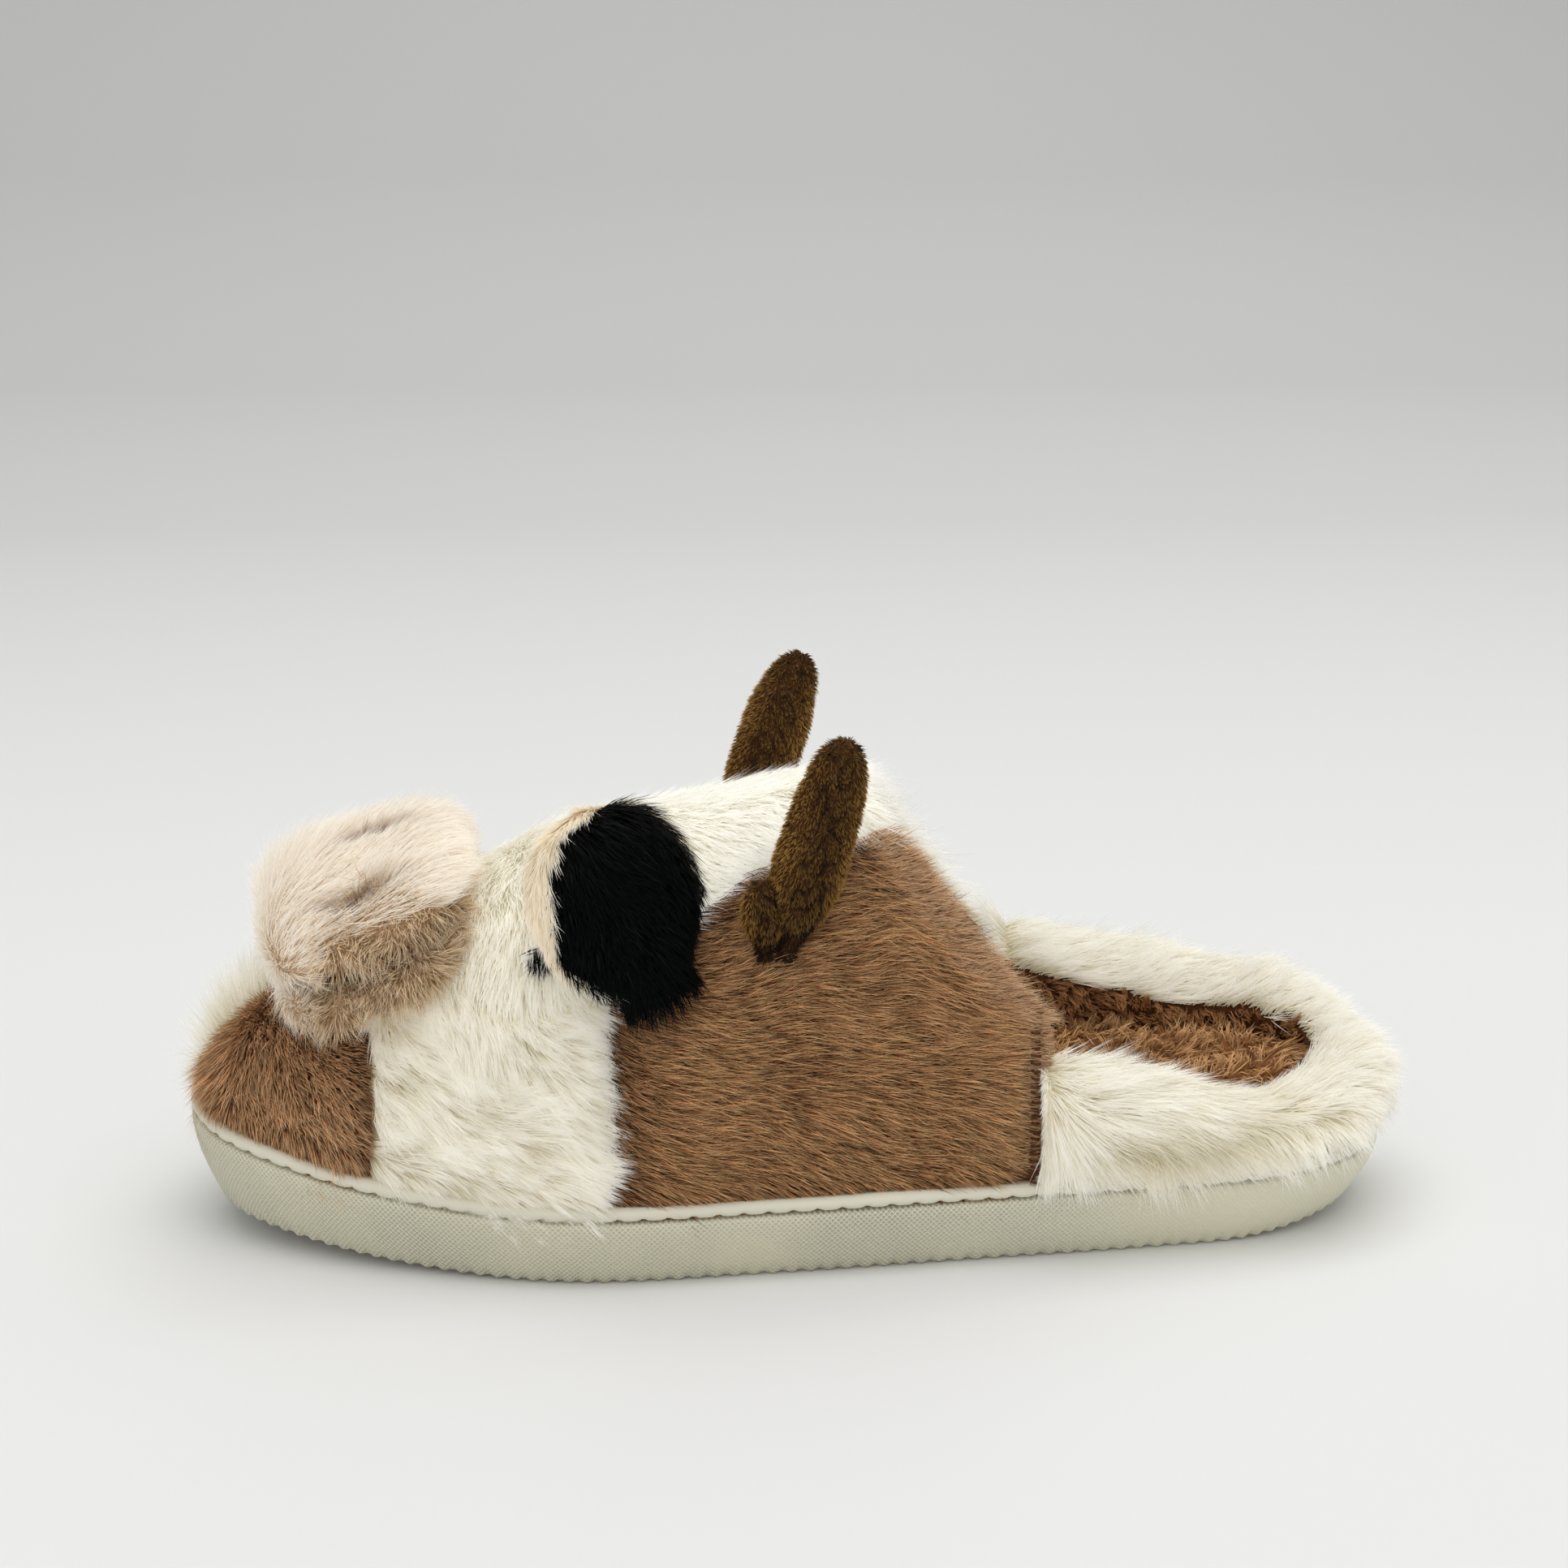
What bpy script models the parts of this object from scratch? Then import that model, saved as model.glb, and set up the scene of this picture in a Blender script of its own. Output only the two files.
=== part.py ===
"""Left plush slide slipper with a cow's face, modelled in metres with +Z up.

The toe points to -X, the wearer's outer side faces -Y and the tread stands on Z = 0.
A moulded foam sole carries a welt, a hollow padded upper and a furry heel collar.
A plush insole lies inside, and a muzzle, two ears, two horns and two eyes sit on the upper.
"""

import math

import bmesh
import bpy
import numpy as np

# Sole
SOLE_LENGTH = 0.265
BALL_HALF_WIDTH = 0.050
SIDE_HEIGHT = 0.0151
SIDE_FLARE = 0.0055
TOE_TREAD_LIFT = 0.0078
TOE_RIM_LIFT = 0.0108
TOE_LIFT_SHARE = 0.34
HEEL_TREAD_LIFT = 0.0065
HEEL_RIM_LIFT = 0.0012
HEEL_LIFT_SHARE = 0.18
RIM_STEP = 0.0008
RIM_STEP_HEIGHT = 0.0009
TREAD_NOTCH_DEPTH = 0.0014
TREAD_NOTCH_LENGTH = 0.0040

# Welt round the top of the sole
WELT_HEIGHT = 0.0040
WELT_THICKNESS = 0.0022
WELT_INSET = 0.0006

# Upper
CLEARANCE = 0.0003
REST_GAP = 0.0005
UPPER_WALL = 0.0045
UPPER_EDGE_ROUND = 0.0010
INSTEP_HEIGHT = 0.0820
THROAT_TOP_X_SHARE = 0.549
UPPER_END_X_SHARE = 0.688
THROAT_SIDE_HEIGHT_SHARE = 0.40
SECTION_FULLNESS = 2.35
UPPER_LOCK_DEPTH = 0.0016

# Heel collar
COLLAR_THICKNESS = 0.0190
COLLAR_HEIGHT = 0.0350
COLLAR_END_SHARE = 0.50
COLLAR_TAPER_LENGTH = 0.030
COLLAR_LOCK_DEPTH = 0.0026

# Insole
INSOLE_THICKNESS = 0.0145
INSOLE_CROWN = 0.0015
INSOLE_EDGE_ROUND = 0.0026

# Muzzle
MUZZLE_LENGTH = 0.048
MUZZLE_WIDTH = 0.076
MUZZLE_THICKNESS = 0.026
MUZZLE_TILT = math.radians(19.0)
MUZZLE_SEAM_DEPTH = 0.0028
MUZZLE_SAG = 0.0110

# Ears and horns
EAR_LENGTH = 0.044
EAR_WIDTH = 0.028
EAR_ROOT_LENGTH = 0.0065
EAR_LAYER_THICKNESS = 0.0055
HORN_LENGTH = 0.046
HORN_WIDTH = 0.0175
HORN_ROOT_LENGTH = 0.0020
HORN_THICKNESS = 0.0120

# Eyes
EYE_DIAMETER = 0.0080
EYE_THICKNESS = 0.0012

# Mesh density
OUTLINE_POINTS = 96
TREAD_POINTS_RATIO = 3
DENSE_POINTS = 720
UPPER_STATIONS = 27
UPPER_AROUND = 24

# Outline of the sole at its rim: share of the length from the toe tip, share of the
# ball half width, with the outer side of the foot negative.
SOLE_OUTLINE = (
    (0.000, 0.08),
    (0.022, -0.30),
    (0.080, -0.57),
    (0.180, -0.82),
    (0.320, -1.00),
    (0.480, -0.95),
    (0.640, -0.86),
    (0.780, -0.78),
    (0.890, -0.68),
    (0.968, -0.42),
    (1.000, 0.00),
    (0.968, 0.42),
    (0.890, 0.67),
    (0.780, 0.75),
    (0.640, 0.75),
    (0.480, 0.82),
    (0.320, 0.93),
    (0.180, 0.91),
    (0.080, 0.74),
    (0.022, 0.44),
)

# Side of the sole, tread edge to rim: share of the side height, share of the flare
# by which the wall stands in from the rim's outline.
SOLE_SIDE = (
    (0.15, 0.72),
    (0.34, 0.34),
    (0.72, 0.04),
    (1.00, 0.00),
)

# Top line of the upper: share of the upper's length to the throat, share of the
# instep height above the rim.
UPPER_TOP_LINE = (
    (0.000, 0.00),
    (0.008, 0.12),
    (0.060, 0.25),
    (0.102, 0.31),
    (0.200, 0.43),
    (0.272, 0.525),
    (0.440, 0.75),
    (0.570, 0.865),
    (0.760, 0.95),
    (0.950, 1.00),
    (1.000, 1.00),
)

# Section of the heel collar from its outer side over the top to its inner side:
# share of the thickness in from the rim, share of the height over the welt, share of
# the lock depth.
COLLAR_SECTION = (
    (0.06, 0.04, 0.3),
    (-0.02, 0.17, 1.0),
    (-0.05, 0.33, 0.3),
    (-0.05, 0.50, 1.0),
    (-0.01, 0.68, 0.3),
    (0.09, 0.85, 1.0),
    (0.24, 0.96, 0.3),
    (0.42, 1.00, 1.0),
    (0.62, 0.93, 0.3),
    (0.76, 0.78, 0.8),
    (0.82, 0.55, 0.2),
    (0.82, 0.25, 0.0),
)

# Top line of the collar from the upper's outer end round the heel to its inner end:
# share of the way round, share of the height.
COLLAR_TOP_LINE = (
    (0.00, 0.90),
    (0.14, 0.68),
    (0.28, 0.50),
    (0.40, 0.54),
    (0.50, 0.66),
    (0.64, 0.80),
    (0.82, 0.82),
    (1.00, 1.00),
)

# Outline of the muzzle's rim seen along its thickness: half length and half width shares
# come from one rounded form, whose corners this power makes fuller than an ellipse.
MUZZLE_FULLNESS = 2.6

# Levels of the muzzle from its underside to its top, as angles round its edge in degrees.
MUZZLE_LEVELS = (-86, -76, -62, -46, -30, -12, 0, 12, 30, 46, 62, 78)

# Ear from root to tip: share of the length, share of the width, share of the thickness.
EAR_SECTIONS = (
    (0.00, 0.62, 0.75),
    (0.15, 0.86, 1.00),
    (0.35, 1.00, 1.00),
    (0.60, 0.99, 1.00),
    (0.80, 0.84, 0.92),
    (0.93, 0.55, 0.75),
    (1.00, 0.16, 0.30),
)

# Horn from root to tip: share of the length, share of the width, share of the thickness.
HORN_SECTIONS = (
    (0.00, 0.74, 0.85),
    (0.18, 0.95, 1.00),
    (0.38, 1.00, 1.00),
    (0.60, 0.88, 0.94),
    (0.80, 0.70, 0.80),
    (0.93, 0.48, 0.58),
    (1.00, 0.14, 0.18),
)

# Root and lean of each ear and horn: share of the upper's length, angle round the
# section from the outer rim, then the lean of its axis forward, outward and up, and
# the way its back faces.
EAR_PLACES = {
    "outer": (0.730, math.radians(33.0), (-0.33, 0.03, 0.94), (0.30, -0.95, 0.05)),
    "inner": (0.740, math.radians(146.0), (0.15, 0.82, 0.30), (0.25, 0.35, -0.90)),
}
HORN_PLACES = {
    "outer": (0.895, math.radians(40.0), (0.26, -0.08, 0.96), (0.10, -0.99, 0.0)),
    "inner": (0.855, math.radians(138.0), (0.27, 0.10, 0.96), (0.10, 0.99, 0.0)),
}
EYE_PLACES = {
    "outer": (0.527, math.radians(46.0)),
    "inner": (0.527, math.radians(134.0)),
}
MUZZLE_PLACE_SHARE = 0.255
MUZZLE_RISE = 0.0105

# Colours: red, green, blue and roughness
CREAM_FOAM = (0.72, 0.70, 0.58, 0.55)
WELT_CREAM = (0.80, 0.78, 0.68, 0.60)
WHITE_FUR = (0.88, 0.86, 0.80, 0.95)
BROWN_PLUSH = (0.33, 0.17, 0.08, 0.95)
BEIGE_FUR = (0.80, 0.65, 0.49, 0.95)
BLACK_FUR = (0.012, 0.012, 0.012, 0.80)
HORN_BROWN = (0.16, 0.08, 0.03, 0.95)


def clear_scene():
    """Removes whatever the file starts with."""
    for found in list(bpy.data.objects):
        bpy.data.objects.remove(found, do_unlink=True)


def finish_material(name, colour):
    """A Principled material from a colour row of red, green, blue and roughness."""
    material = bpy.data.materials.new(name)
    material.use_nodes = True
    shader = material.node_tree.nodes["Principled BSDF"]
    shader.inputs["Base Color"].default_value = (*colour[:3], 1.0)
    shader.inputs["Roughness"].default_value = colour[3]
    shader.inputs["Metallic"].default_value = 0.0
    return material


def add_object(name, bm, colour, sharp_angle=50.0):
    """Turns a finished bmesh into a named, smooth-shaded object."""
    bmesh.ops.remove_doubles(bm, verts=bm.verts, dist=1e-6)
    bmesh.ops.recalc_face_normals(bm, faces=bm.faces)
    mesh = bpy.data.meshes.new(name)
    bm.to_mesh(mesh)
    bm.free()
    mesh.shade_smooth()
    mesh.set_sharp_from_angle(angle=math.radians(sharp_angle))
    mesh.materials.append(finish_material(name, colour))
    made = bpy.data.objects.new(name, mesh)
    bpy.context.scene.collection.objects.link(made)
    return made


def smooth_value(at, table, column=1):
    """Reads a table's column at a place, along a curve with no overshoot between rows."""
    xs = np.array([row[0] for row in table])
    ys = np.array([row[column] for row in table])
    steps, slopes = np.diff(xs), np.diff(ys) / np.diff(xs)
    tangents = np.zeros(len(xs))
    tangents[0], tangents[-1] = slopes[0], slopes[-1]
    for k in range(1, len(xs) - 1):
        if slopes[k - 1] * slopes[k] > 0:
            tangents[k] = 2 / (1 / slopes[k - 1] + 1 / slopes[k])
    k = int(np.clip(np.searchsorted(xs, at) - 1, 0, len(steps) - 1))
    t = float(np.clip((at - xs[k]) / steps[k], 0, 1))
    rise = ys[k + 1] - ys[k]
    bend = t * (1 - t) * ((1 - t) * (tangents[k] * steps[k] - rise)
                          - t * (tangents[k + 1] * steps[k] - rise))
    return float(ys[k] + t * rise + bend)


def closed_curve(rows, count):
    """Even points along a smooth closed curve through the rows."""
    points = np.array(rows)
    before, after = np.roll(points, 1, 0), np.roll(points, -1, 0)
    beyond = np.roll(points, -2, 0)
    dense = []
    for t in np.linspace(0, 1, 24, endpoint=False):
        dense.append(0.5 * (2 * points + (after - before) * t
                            + (2 * before - 5 * points + 4 * after - beyond) * t ** 2
                            + (3 * points - before - 3 * after + beyond) * t ** 3))
    dense = np.stack(dense, 1).reshape(-1, 2)
    loop = np.vstack([dense, dense[:1]])
    run = np.concatenate([[0], np.cumsum(np.linalg.norm(np.diff(loop, axis=0), axis=1))])
    at = np.linspace(0, run[-1], count, endpoint=False)
    return np.stack([np.interp(at, run, loop[:, 0]), np.interp(at, run, loop[:, 1])], 1)


def outward_normals(loop):
    """Unit normals in plan, pointing out of a loop that runs round the outer side first."""
    along = np.roll(loop, -1, 0) - np.roll(loop, 1, 0)
    normal = np.stack([along[:, 1], -along[:, 0]], 1)
    return normal / np.linalg.norm(normal, axis=1)[:, None]


def sole_outline(count):
    """The rim's outline in plan as even points, with their outward normals."""
    rows = [((along - 0.5) * SOLE_LENGTH, across * BALL_HALF_WIDTH)
            for along, across in SOLE_OUTLINE]
    loop = closed_curve(rows, count)
    return loop, outward_normals(loop)


DENSE_OUTLINE, DENSE_NORMALS = sole_outline(DENSE_POINTS)


def edges_of_section(x, inset):
    """Where a line across the shoe at x meets the outline moved in by inset: outer, inner."""
    loop = DENSE_OUTLINE - DENSE_NORMALS * inset
    heel = int(loop[:, 0].argmax())
    toe = int(loop[:, 0].argmin())
    turned = np.roll(loop, -toe, 0)
    heel = (heel - toe) % len(loop)
    outer, inner = turned[:heel + 1], np.vstack([turned[:1], turned[heel:][::-1]])
    return (float(np.interp(x, outer[:, 0], outer[:, 1])),
            float(np.interp(x, inner[:, 0], inner[:, 1])))


def toe_x(inset):
    """The foremost x of the outline moved in by inset."""
    return float((DENSE_OUTLINE - DENSE_NORMALS * inset)[:, 0].min())


def end_lift(x, toe_lift, heel_lift):
    """Height by which a level line curls up at the toe and the heel."""
    share = x / SOLE_LENGTH + 0.5
    toe = max(0.0, (TOE_LIFT_SHARE - share) / TOE_LIFT_SHARE)
    heel = max(0.0, (share - 1 + HEEL_LIFT_SHARE) / HEEL_LIFT_SHARE)
    return toe_lift * toe ** 2 + heel_lift * heel ** 2


def tread_height(x):
    """Height of the underside of the sole."""
    return end_lift(x, TOE_TREAD_LIFT, HEEL_TREAD_LIFT)


def rim_height(x):
    """Height of the sole's top face, on which upper, collar, welt and insole stand."""
    return SIDE_HEIGHT + end_lift(x, TOE_RIM_LIFT, HEEL_RIM_LIFT)


def add_ring(bm, points):
    """A ring of vertices."""
    return [bm.verts.new(point) for point in points]


def bridge_rings(bm, lower, upper):
    """Quads between two rings of as many vertices."""
    for k, start in enumerate(lower):
        after = (k + 1) % len(lower)
        bm.faces.new((start, lower[after], upper[after], upper[k]))


def fill_ring(bm, ring, rows, height):
    """Closes a ring across the shoe with bands that follow a height function of x and y."""
    count = len(ring)
    half = count // 2
    outer = ring[1:half]
    inner = ring[:half:-1]
    columns = [[outer[k]] for k in range(len(outer))]
    for k, column in enumerate(columns):
        a, b = outer[k].co, inner[k].co
        for row in range(1, rows):
            point = a.lerp(b, row / rows)
            column.append(bm.verts.new((point.x, point.y, height(point.x, point.y))))
        column.append(inner[k])
    for first, second in zip(columns, columns[1:]):
        for row in range(rows):
            bm.faces.new((first[row], second[row], second[row + 1], first[row + 1]))
    for row in range(rows):
        bm.faces.new((ring[0], columns[0][row], columns[0][row + 1]))
        bm.faces.new((ring[half], columns[-1][row + 1], columns[-1][row]))


def stitch_rings(bm, fine, coarse):
    """Faces between a ring and another that has a whole number of times fewer vertices."""
    ratio = len(fine) // len(coarse)
    for k, start in enumerate(coarse):
        run = [fine[(k * ratio + step) % len(fine)] for step in range(ratio + 1)]
        bm.faces.new([*run, coarse[(k + 1) % len(coarse)], start])


def tread_rings(bm):
    """The tread's edge cut into ribs, and the ring inside it where the cuts run out."""
    loop, normals = sole_outline(OUTLINE_POINTS * TREAD_POINTS_RATIO)
    rings = []
    for inset, cut in ((TREAD_NOTCH_LENGTH, 0.0), (0.0, 1.0)):
        plan = loop - normals * (SIDE_FLARE + inset)
        points = []
        for k, (x, y) in enumerate(plan):
            notch = cut * TREAD_NOTCH_DEPTH * (k % 2)
            points.append((x, y, tread_height(x) + notch))
        rings.append(add_ring(bm, points))
    return rings


def build_sole():
    """The moulded foam sole: flared side, rim step, flat top and a tread with a ribbed edge."""
    bm = bmesh.new()
    loop, normals = sole_outline(OUTLINE_POINTS)
    rings = []
    for height_share, flare_share in SOLE_SIDE:
        plan = loop - normals * SIDE_FLARE * flare_share
        points = []
        for (x, y), (rim_x, _) in zip(plan, loop):
            low, high = tread_height(x), rim_height(rim_x) - RIM_STEP_HEIGHT
            points.append((x, y, low + (high - low) * height_share))
        rings.append(add_ring(bm, points))
    for height in (-RIM_STEP_HEIGHT, 0.0):
        plan = loop - normals * RIM_STEP
        rings.append(add_ring(bm, [(x, y, rim_height(x) + height) for x, y in plan]))
    for lower, upper in zip(rings, rings[1:]):
        bridge_rings(bm, lower, upper)
    inner, edge = tread_rings(bm)
    bridge_rings(bm, inner, edge)
    stitch_rings(bm, edge, rings[0])
    fill_ring(bm, inner, 4, lambda x, y: tread_height(x))
    fill_ring(bm, rings[-1], 2, lambda x, y: rim_height(x))
    return add_object("sole", bm, CREAM_FOAM)


def build_welt():
    """The smooth strip that runs round the sole's rim."""
    bm = bmesh.new()
    loop, normals = sole_outline(OUTLINE_POINTS)
    outer_inset = RIM_STEP + WELT_INSET
    rings = []
    for inset, height in (
        (outer_inset, CLEARANCE),
        (outer_inset - WELT_INSET, WELT_HEIGHT * 0.35),
        (outer_inset, WELT_HEIGHT),
        (outer_inset + WELT_THICKNESS, WELT_HEIGHT),
        (outer_inset + WELT_THICKNESS, CLEARANCE),
    ):
        plan = loop - normals * inset
        rings.append(add_ring(bm, [(x, y, rim_height(x) + height) for x, y in plan]))
    for lower, upper in zip(rings, rings[1:] + rings[:1]):
        bridge_rings(bm, lower, upper)
    return add_object("welt", bm, WELT_CREAM)


UPPER_INSET = RIM_STEP + WELT_INSET + WELT_THICKNESS + CLEARANCE
UPPER_FRONT = toe_x(UPPER_INSET)
UPPER_LENGTH = SOLE_LENGTH * (UPPER_END_X_SHARE - 0.5) - UPPER_FRONT
THROAT_LENGTH = SOLE_LENGTH * (THROAT_TOP_X_SHARE - 0.5) - UPPER_FRONT


def upper_height(x, wall=0.0):
    """Height of the upper's top line above the rim, or of its lining for a wall."""
    share = (x - UPPER_FRONT - wall) / (THROAT_LENGTH - wall)
    return smooth_value(share, UPPER_TOP_LINE) * INSTEP_HEIGHT - wall * min(1.0, share * 8)


def upper_point(x, angle, wall=0.0):
    """A point of the upper's section at x: angle 0 is the outer rim and pi the inner rim."""
    outer, inner = edges_of_section(x, UPPER_INSET + wall)
    middle, half = (outer + inner) / 2, (inner - outer) / 2
    power = 2 / SECTION_FULLNESS
    turn = math.cos(angle)
    across = middle - half * math.copysign(abs(turn) ** power, turn)
    height = max(0.0, upper_height(x, wall)) * max(0.0, math.sin(angle)) ** power
    return np.array([x, across, rim_height(x) + CLEARANCE + height])


def distance_off_upper(point):
    """How far a point lies outside the upper, measured from its section's foot centre.

    Points in front of the upper are counted as far off."""
    x, y, z = point
    if x <= UPPER_FRONT:
        return SOLE_LENGTH
    outer, inner = edges_of_section(x, UPPER_INSET)
    middle, half = (outer + inner) / 2, (inner - outer) / 2
    rise = z - rim_height(x) - CLEARANCE
    share = ((abs(y - middle) / half) ** SECTION_FULLNESS
             + (max(rise, 0.0) / upper_height(x)) ** SECTION_FULLNESS) ** (1 / SECTION_FULLNESS)
    return math.hypot(y - middle, rise) * (1 - 1 / max(share, 0.05))


def upper_normal(x, angle):
    """The outward normal of the upper's surface."""
    step = SOLE_LENGTH * 0.002
    turn = 0.02
    along = upper_point(x + step, angle) - upper_point(x - step, angle)
    around = upper_point(x, angle + turn) - upper_point(x, angle - turn)
    normal = np.cross(along, around)
    normal /= np.linalg.norm(normal)
    return -normal if normal[2] < 0 or (normal[2] < 0.2 and normal[1] * math.cos(angle) > 0) else normal


def throat_x(angle):
    """Where the upper ends, as an x for each angle round its section."""
    rise = math.sin(angle)
    side = THROAT_SIDE_HEIGHT_SHARE
    slope = 0.0 if rise < side else ((rise - side) / (1 - side)) ** 0.8
    return UPPER_FRONT + UPPER_LENGTH + (THROAT_LENGTH - UPPER_LENGTH) * slope


def lock_share(row, column):
    """Height of a fur lock at a grid place: locks rise towards their tips in staggered rows."""
    phase = (row + 2 * (column // 2 % 2)) % 4
    return (phase / 3) * (0.35 + 0.65 * (column % 2))


def build_upper():
    """The padded fur upper: one hollow shell, open at the throat and underneath."""
    bm = bmesh.new()
    grids = []
    for wall in (0.0, UPPER_WALL):
        front = toe_x(UPPER_INSET + wall)
        grid = []
        for station in range(UPPER_STATIONS + 1):
            share = (station / UPPER_STATIONS) ** 1.55
            row = []
            for column in range(UPPER_AROUND + 1):
                angle = math.pi * column / UPPER_AROUND
                x = front + share * (throat_x(angle) - front)
                point = upper_point(x, angle, wall)
                raised = 2 < column < UPPER_AROUND - 2 and 6 < station < UPPER_STATIONS - 1
                if wall == 0 and raised and not under_trim(x, angle):
                    depth = UPPER_LOCK_DEPTH * lock_share(station, column)
                    point = point + upper_normal(x, angle) * depth
                row.append(tuple(point))
            grid.append(row)
        grids.append(grid)
    made = []
    for grid in grids:
        pole = bm.verts.new(np.mean(grid[0], axis=0))
        rows = [[pole] * (UPPER_AROUND + 1)]
        rows += [add_ring(bm, row) for row in grid[1:]]
        for near, far in zip(rows, rows[1:]):
            for k in range(UPPER_AROUND):
                corners = list(dict.fromkeys((near[k], far[k], far[k + 1], near[k + 1])))
                bm.faces.new(corners)
        made.append(rows)
    outer, inner = made
    for column in (0, UPPER_AROUND):
        for k in range(UPPER_STATIONS):
            bm.faces.new((outer[k][column], outer[k + 1][column],
                          inner[k + 1][column], inner[k][column]))
    for k in range(UPPER_AROUND):
        bm.faces.new((outer[-1][k], outer[-1][k + 1], inner[-1][k + 1], inner[-1][k]))
    return add_object("upper", bm, WHITE_FUR)


def place_on_upper(share, angle):
    """A point and normal of the upper, by share of its length to the throat and angle."""
    x = UPPER_FRONT + share * THROAT_LENGTH
    return upper_point(x, angle), upper_normal(x, angle)


def under_trim(x, angle):
    """Whether a muzzle, ear, horn or eye presses the upper's fur flat here."""
    here = upper_point(x, angle)
    share = (x - UPPER_FRONT) / THROAT_LENGTH
    if share < MUZZLE_PLACE_SHARE + 0.75 * MUZZLE_LENGTH / THROAT_LENGTH:
        return True
    spots = [(place[0], place[1], EAR_WIDTH) for place in EAR_PLACES.values()]
    spots += [(place[0], place[1], HORN_WIDTH) for place in HORN_PLACES.values()]
    spots += [(place[0], place[1], EYE_DIAMETER) for place in EYE_PLACES.values()]
    return any(np.linalg.norm(place_on_upper(s, a)[0] - here) < width
               for s, a, width in spots)


def lift_clear(point, direction, gap=REST_GAP):
    """Moves a point along a direction until it is clear of the upper's surface."""
    if distance_off_upper(point) >= gap:
        return point
    low, high = 0.0, SOLE_LENGTH * 0.25
    for _ in range(30):
        middle = (low + high) / 2
        if distance_off_upper(point + direction * middle) >= gap:
            high = middle
        else:
            low = middle
    return point + direction * high


def unit(vector):
    """A vector of length one."""
    vector = np.array(vector, float)
    return vector / np.linalg.norm(vector)


def build_collar():
    """The stuffed fur collar that runs round the heel between the upper's two ends."""
    bm = bmesh.new()
    loop, normals = sole_outline(OUTLINE_POINTS)
    start_x = UPPER_FRONT + UPPER_LENGTH + CLEARANCE
    run = [k for k in range(len(loop)) if loop[k, 0] > start_x + SOLE_LENGTH * 0.012]
    ends = []
    for side in (0, 1):
        y = edges_of_section(start_x, 0.0)[side]
        ends.append((np.array([start_x, y]), np.array([0.0, -1.0 if side == 0 else 1.0])))
    path = [ends[0]] + [(loop[k], normals[k]) for k in run] + [ends[1]]
    length = np.concatenate([[0], np.cumsum([np.linalg.norm(b[0] - a[0])
                                             for a, b in zip(path, path[1:])])])
    foot = WELT_HEIGHT + CLEARANCE
    inner = COLLAR_THICKNESS * COLLAR_SECTION[-1][0]
    sections = []
    for step, (place, normal) in enumerate(path):
        from_end = min(length[step], length[-1] - length[step])
        full = COLLAR_END_SHARE + (1 - COLLAR_END_SHARE) * math.sin(
            math.pi / 2 * min(1.0, from_end / COLLAR_TAPER_LENGTH))
        tall = COLLAR_HEIGHT * smooth_value(length[step] / length[-1], COLLAR_TOP_LINE)
        profile = [(UPPER_INSET, 0.0), (UPPER_INSET, foot)]
        for column, (inward, up, lock) in enumerate(COLLAR_SECTION):
            locks = (step % 3) / 2 if column // 2 % 2 else ((step + 1) % 3) / 2
            depth = COLLAR_LOCK_DEPTH * lock * locks * full
            side = depth * (1.0 if up < 0.8 else 0.4) * (1.0 if inward > 0.5 else -1.0)
            rise = depth if up > 0.8 else 0.0
            inset = COLLAR_THICKNESS * inward * (full if inward < 0 else 1.0) + side
            profile.append((inset, foot + (tall - foot) * up + rise))
        profile.append((inner, 0.0))
        base = rim_height(place[0]) + CLEARANCE
        points = [(*(place - normal * inset), base + up) for inset, up in profile]
        sections.append(add_ring(bm, points))
    for near, far in zip(sections, sections[1:]):
        bridge_rings(bm, near, far)
    bm.faces.new(sections[0])
    bm.faces.new(sections[-1][::-1])
    return add_object("heel_collar", bm, WHITE_FUR)


def insole_height(x, y):
    """Height of the insole's top, kept under the upper's lining in the toe."""
    top = rim_height(x) + INSOLE_THICKNESS
    front = toe_x(UPPER_INSET + UPPER_WALL)
    if x >= UPPER_FRONT + UPPER_LENGTH:
        return top
    outer, inner = edges_of_section(x, UPPER_INSET + UPPER_WALL)
    middle, half = (outer + inner) / 2, (inner - outer) / 2
    across = min(0.999, abs(y - middle) / half)
    rise = upper_height(max(x, front), UPPER_WALL)
    rise *= (1 - across ** SECTION_FULLNESS) ** (1 / SECTION_FULLNESS)
    return min(top, rim_height(x) + CLEARANCE + max(rise * 0.85 - CLEARANCE, CLEARANCE * 4))


def build_insole():
    """The plush insole that lies on the sole between upper and collar."""
    bm = bmesh.new()
    loop, normals = sole_outline(OUTLINE_POINTS)
    front_inset = UPPER_INSET + UPPER_WALL + CLEARANCE * 2
    rear_inset = COLLAR_THICKNESS * COLLAR_SECTION[-1][0] + COLLAR_LOCK_DEPTH + CLEARANCE
    start_x = UPPER_FRONT + UPPER_LENGTH
    blend = SOLE_LENGTH * 0.10
    rings = []
    for edge, share in ((0.0, 0.0), (0.0, 0.55), (INSOLE_EDGE_ROUND, 1.0)):
        points = []
        for (x, y), (nx, ny) in zip(loop, normals):
            rear = min(1.0, max(0.0, (x - start_x + blend) / blend))
            inset = front_inset + (rear_inset - front_inset) * rear + edge
            px, py = x - nx * inset, y - ny * inset
            base = rim_height(px) + CLEARANCE
            points.append((px, py, base + (insole_height(px, py) - base) * share))
        rings.append(add_ring(bm, points))
    bridge_rings(bm, rings[0], rings[1])
    bridge_rings(bm, rings[1], rings[2])
    fill_ring(bm, rings[0], 2, lambda x, y: rim_height(x) + CLEARANCE)
    fill_ring(bm, rings[2], 4, lambda x, y: insole_height(x, y) + INSOLE_CROWN * (x > UPPER_FRONT * 0.8))
    return add_object("insole", bm, BROWN_PLUSH)


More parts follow.
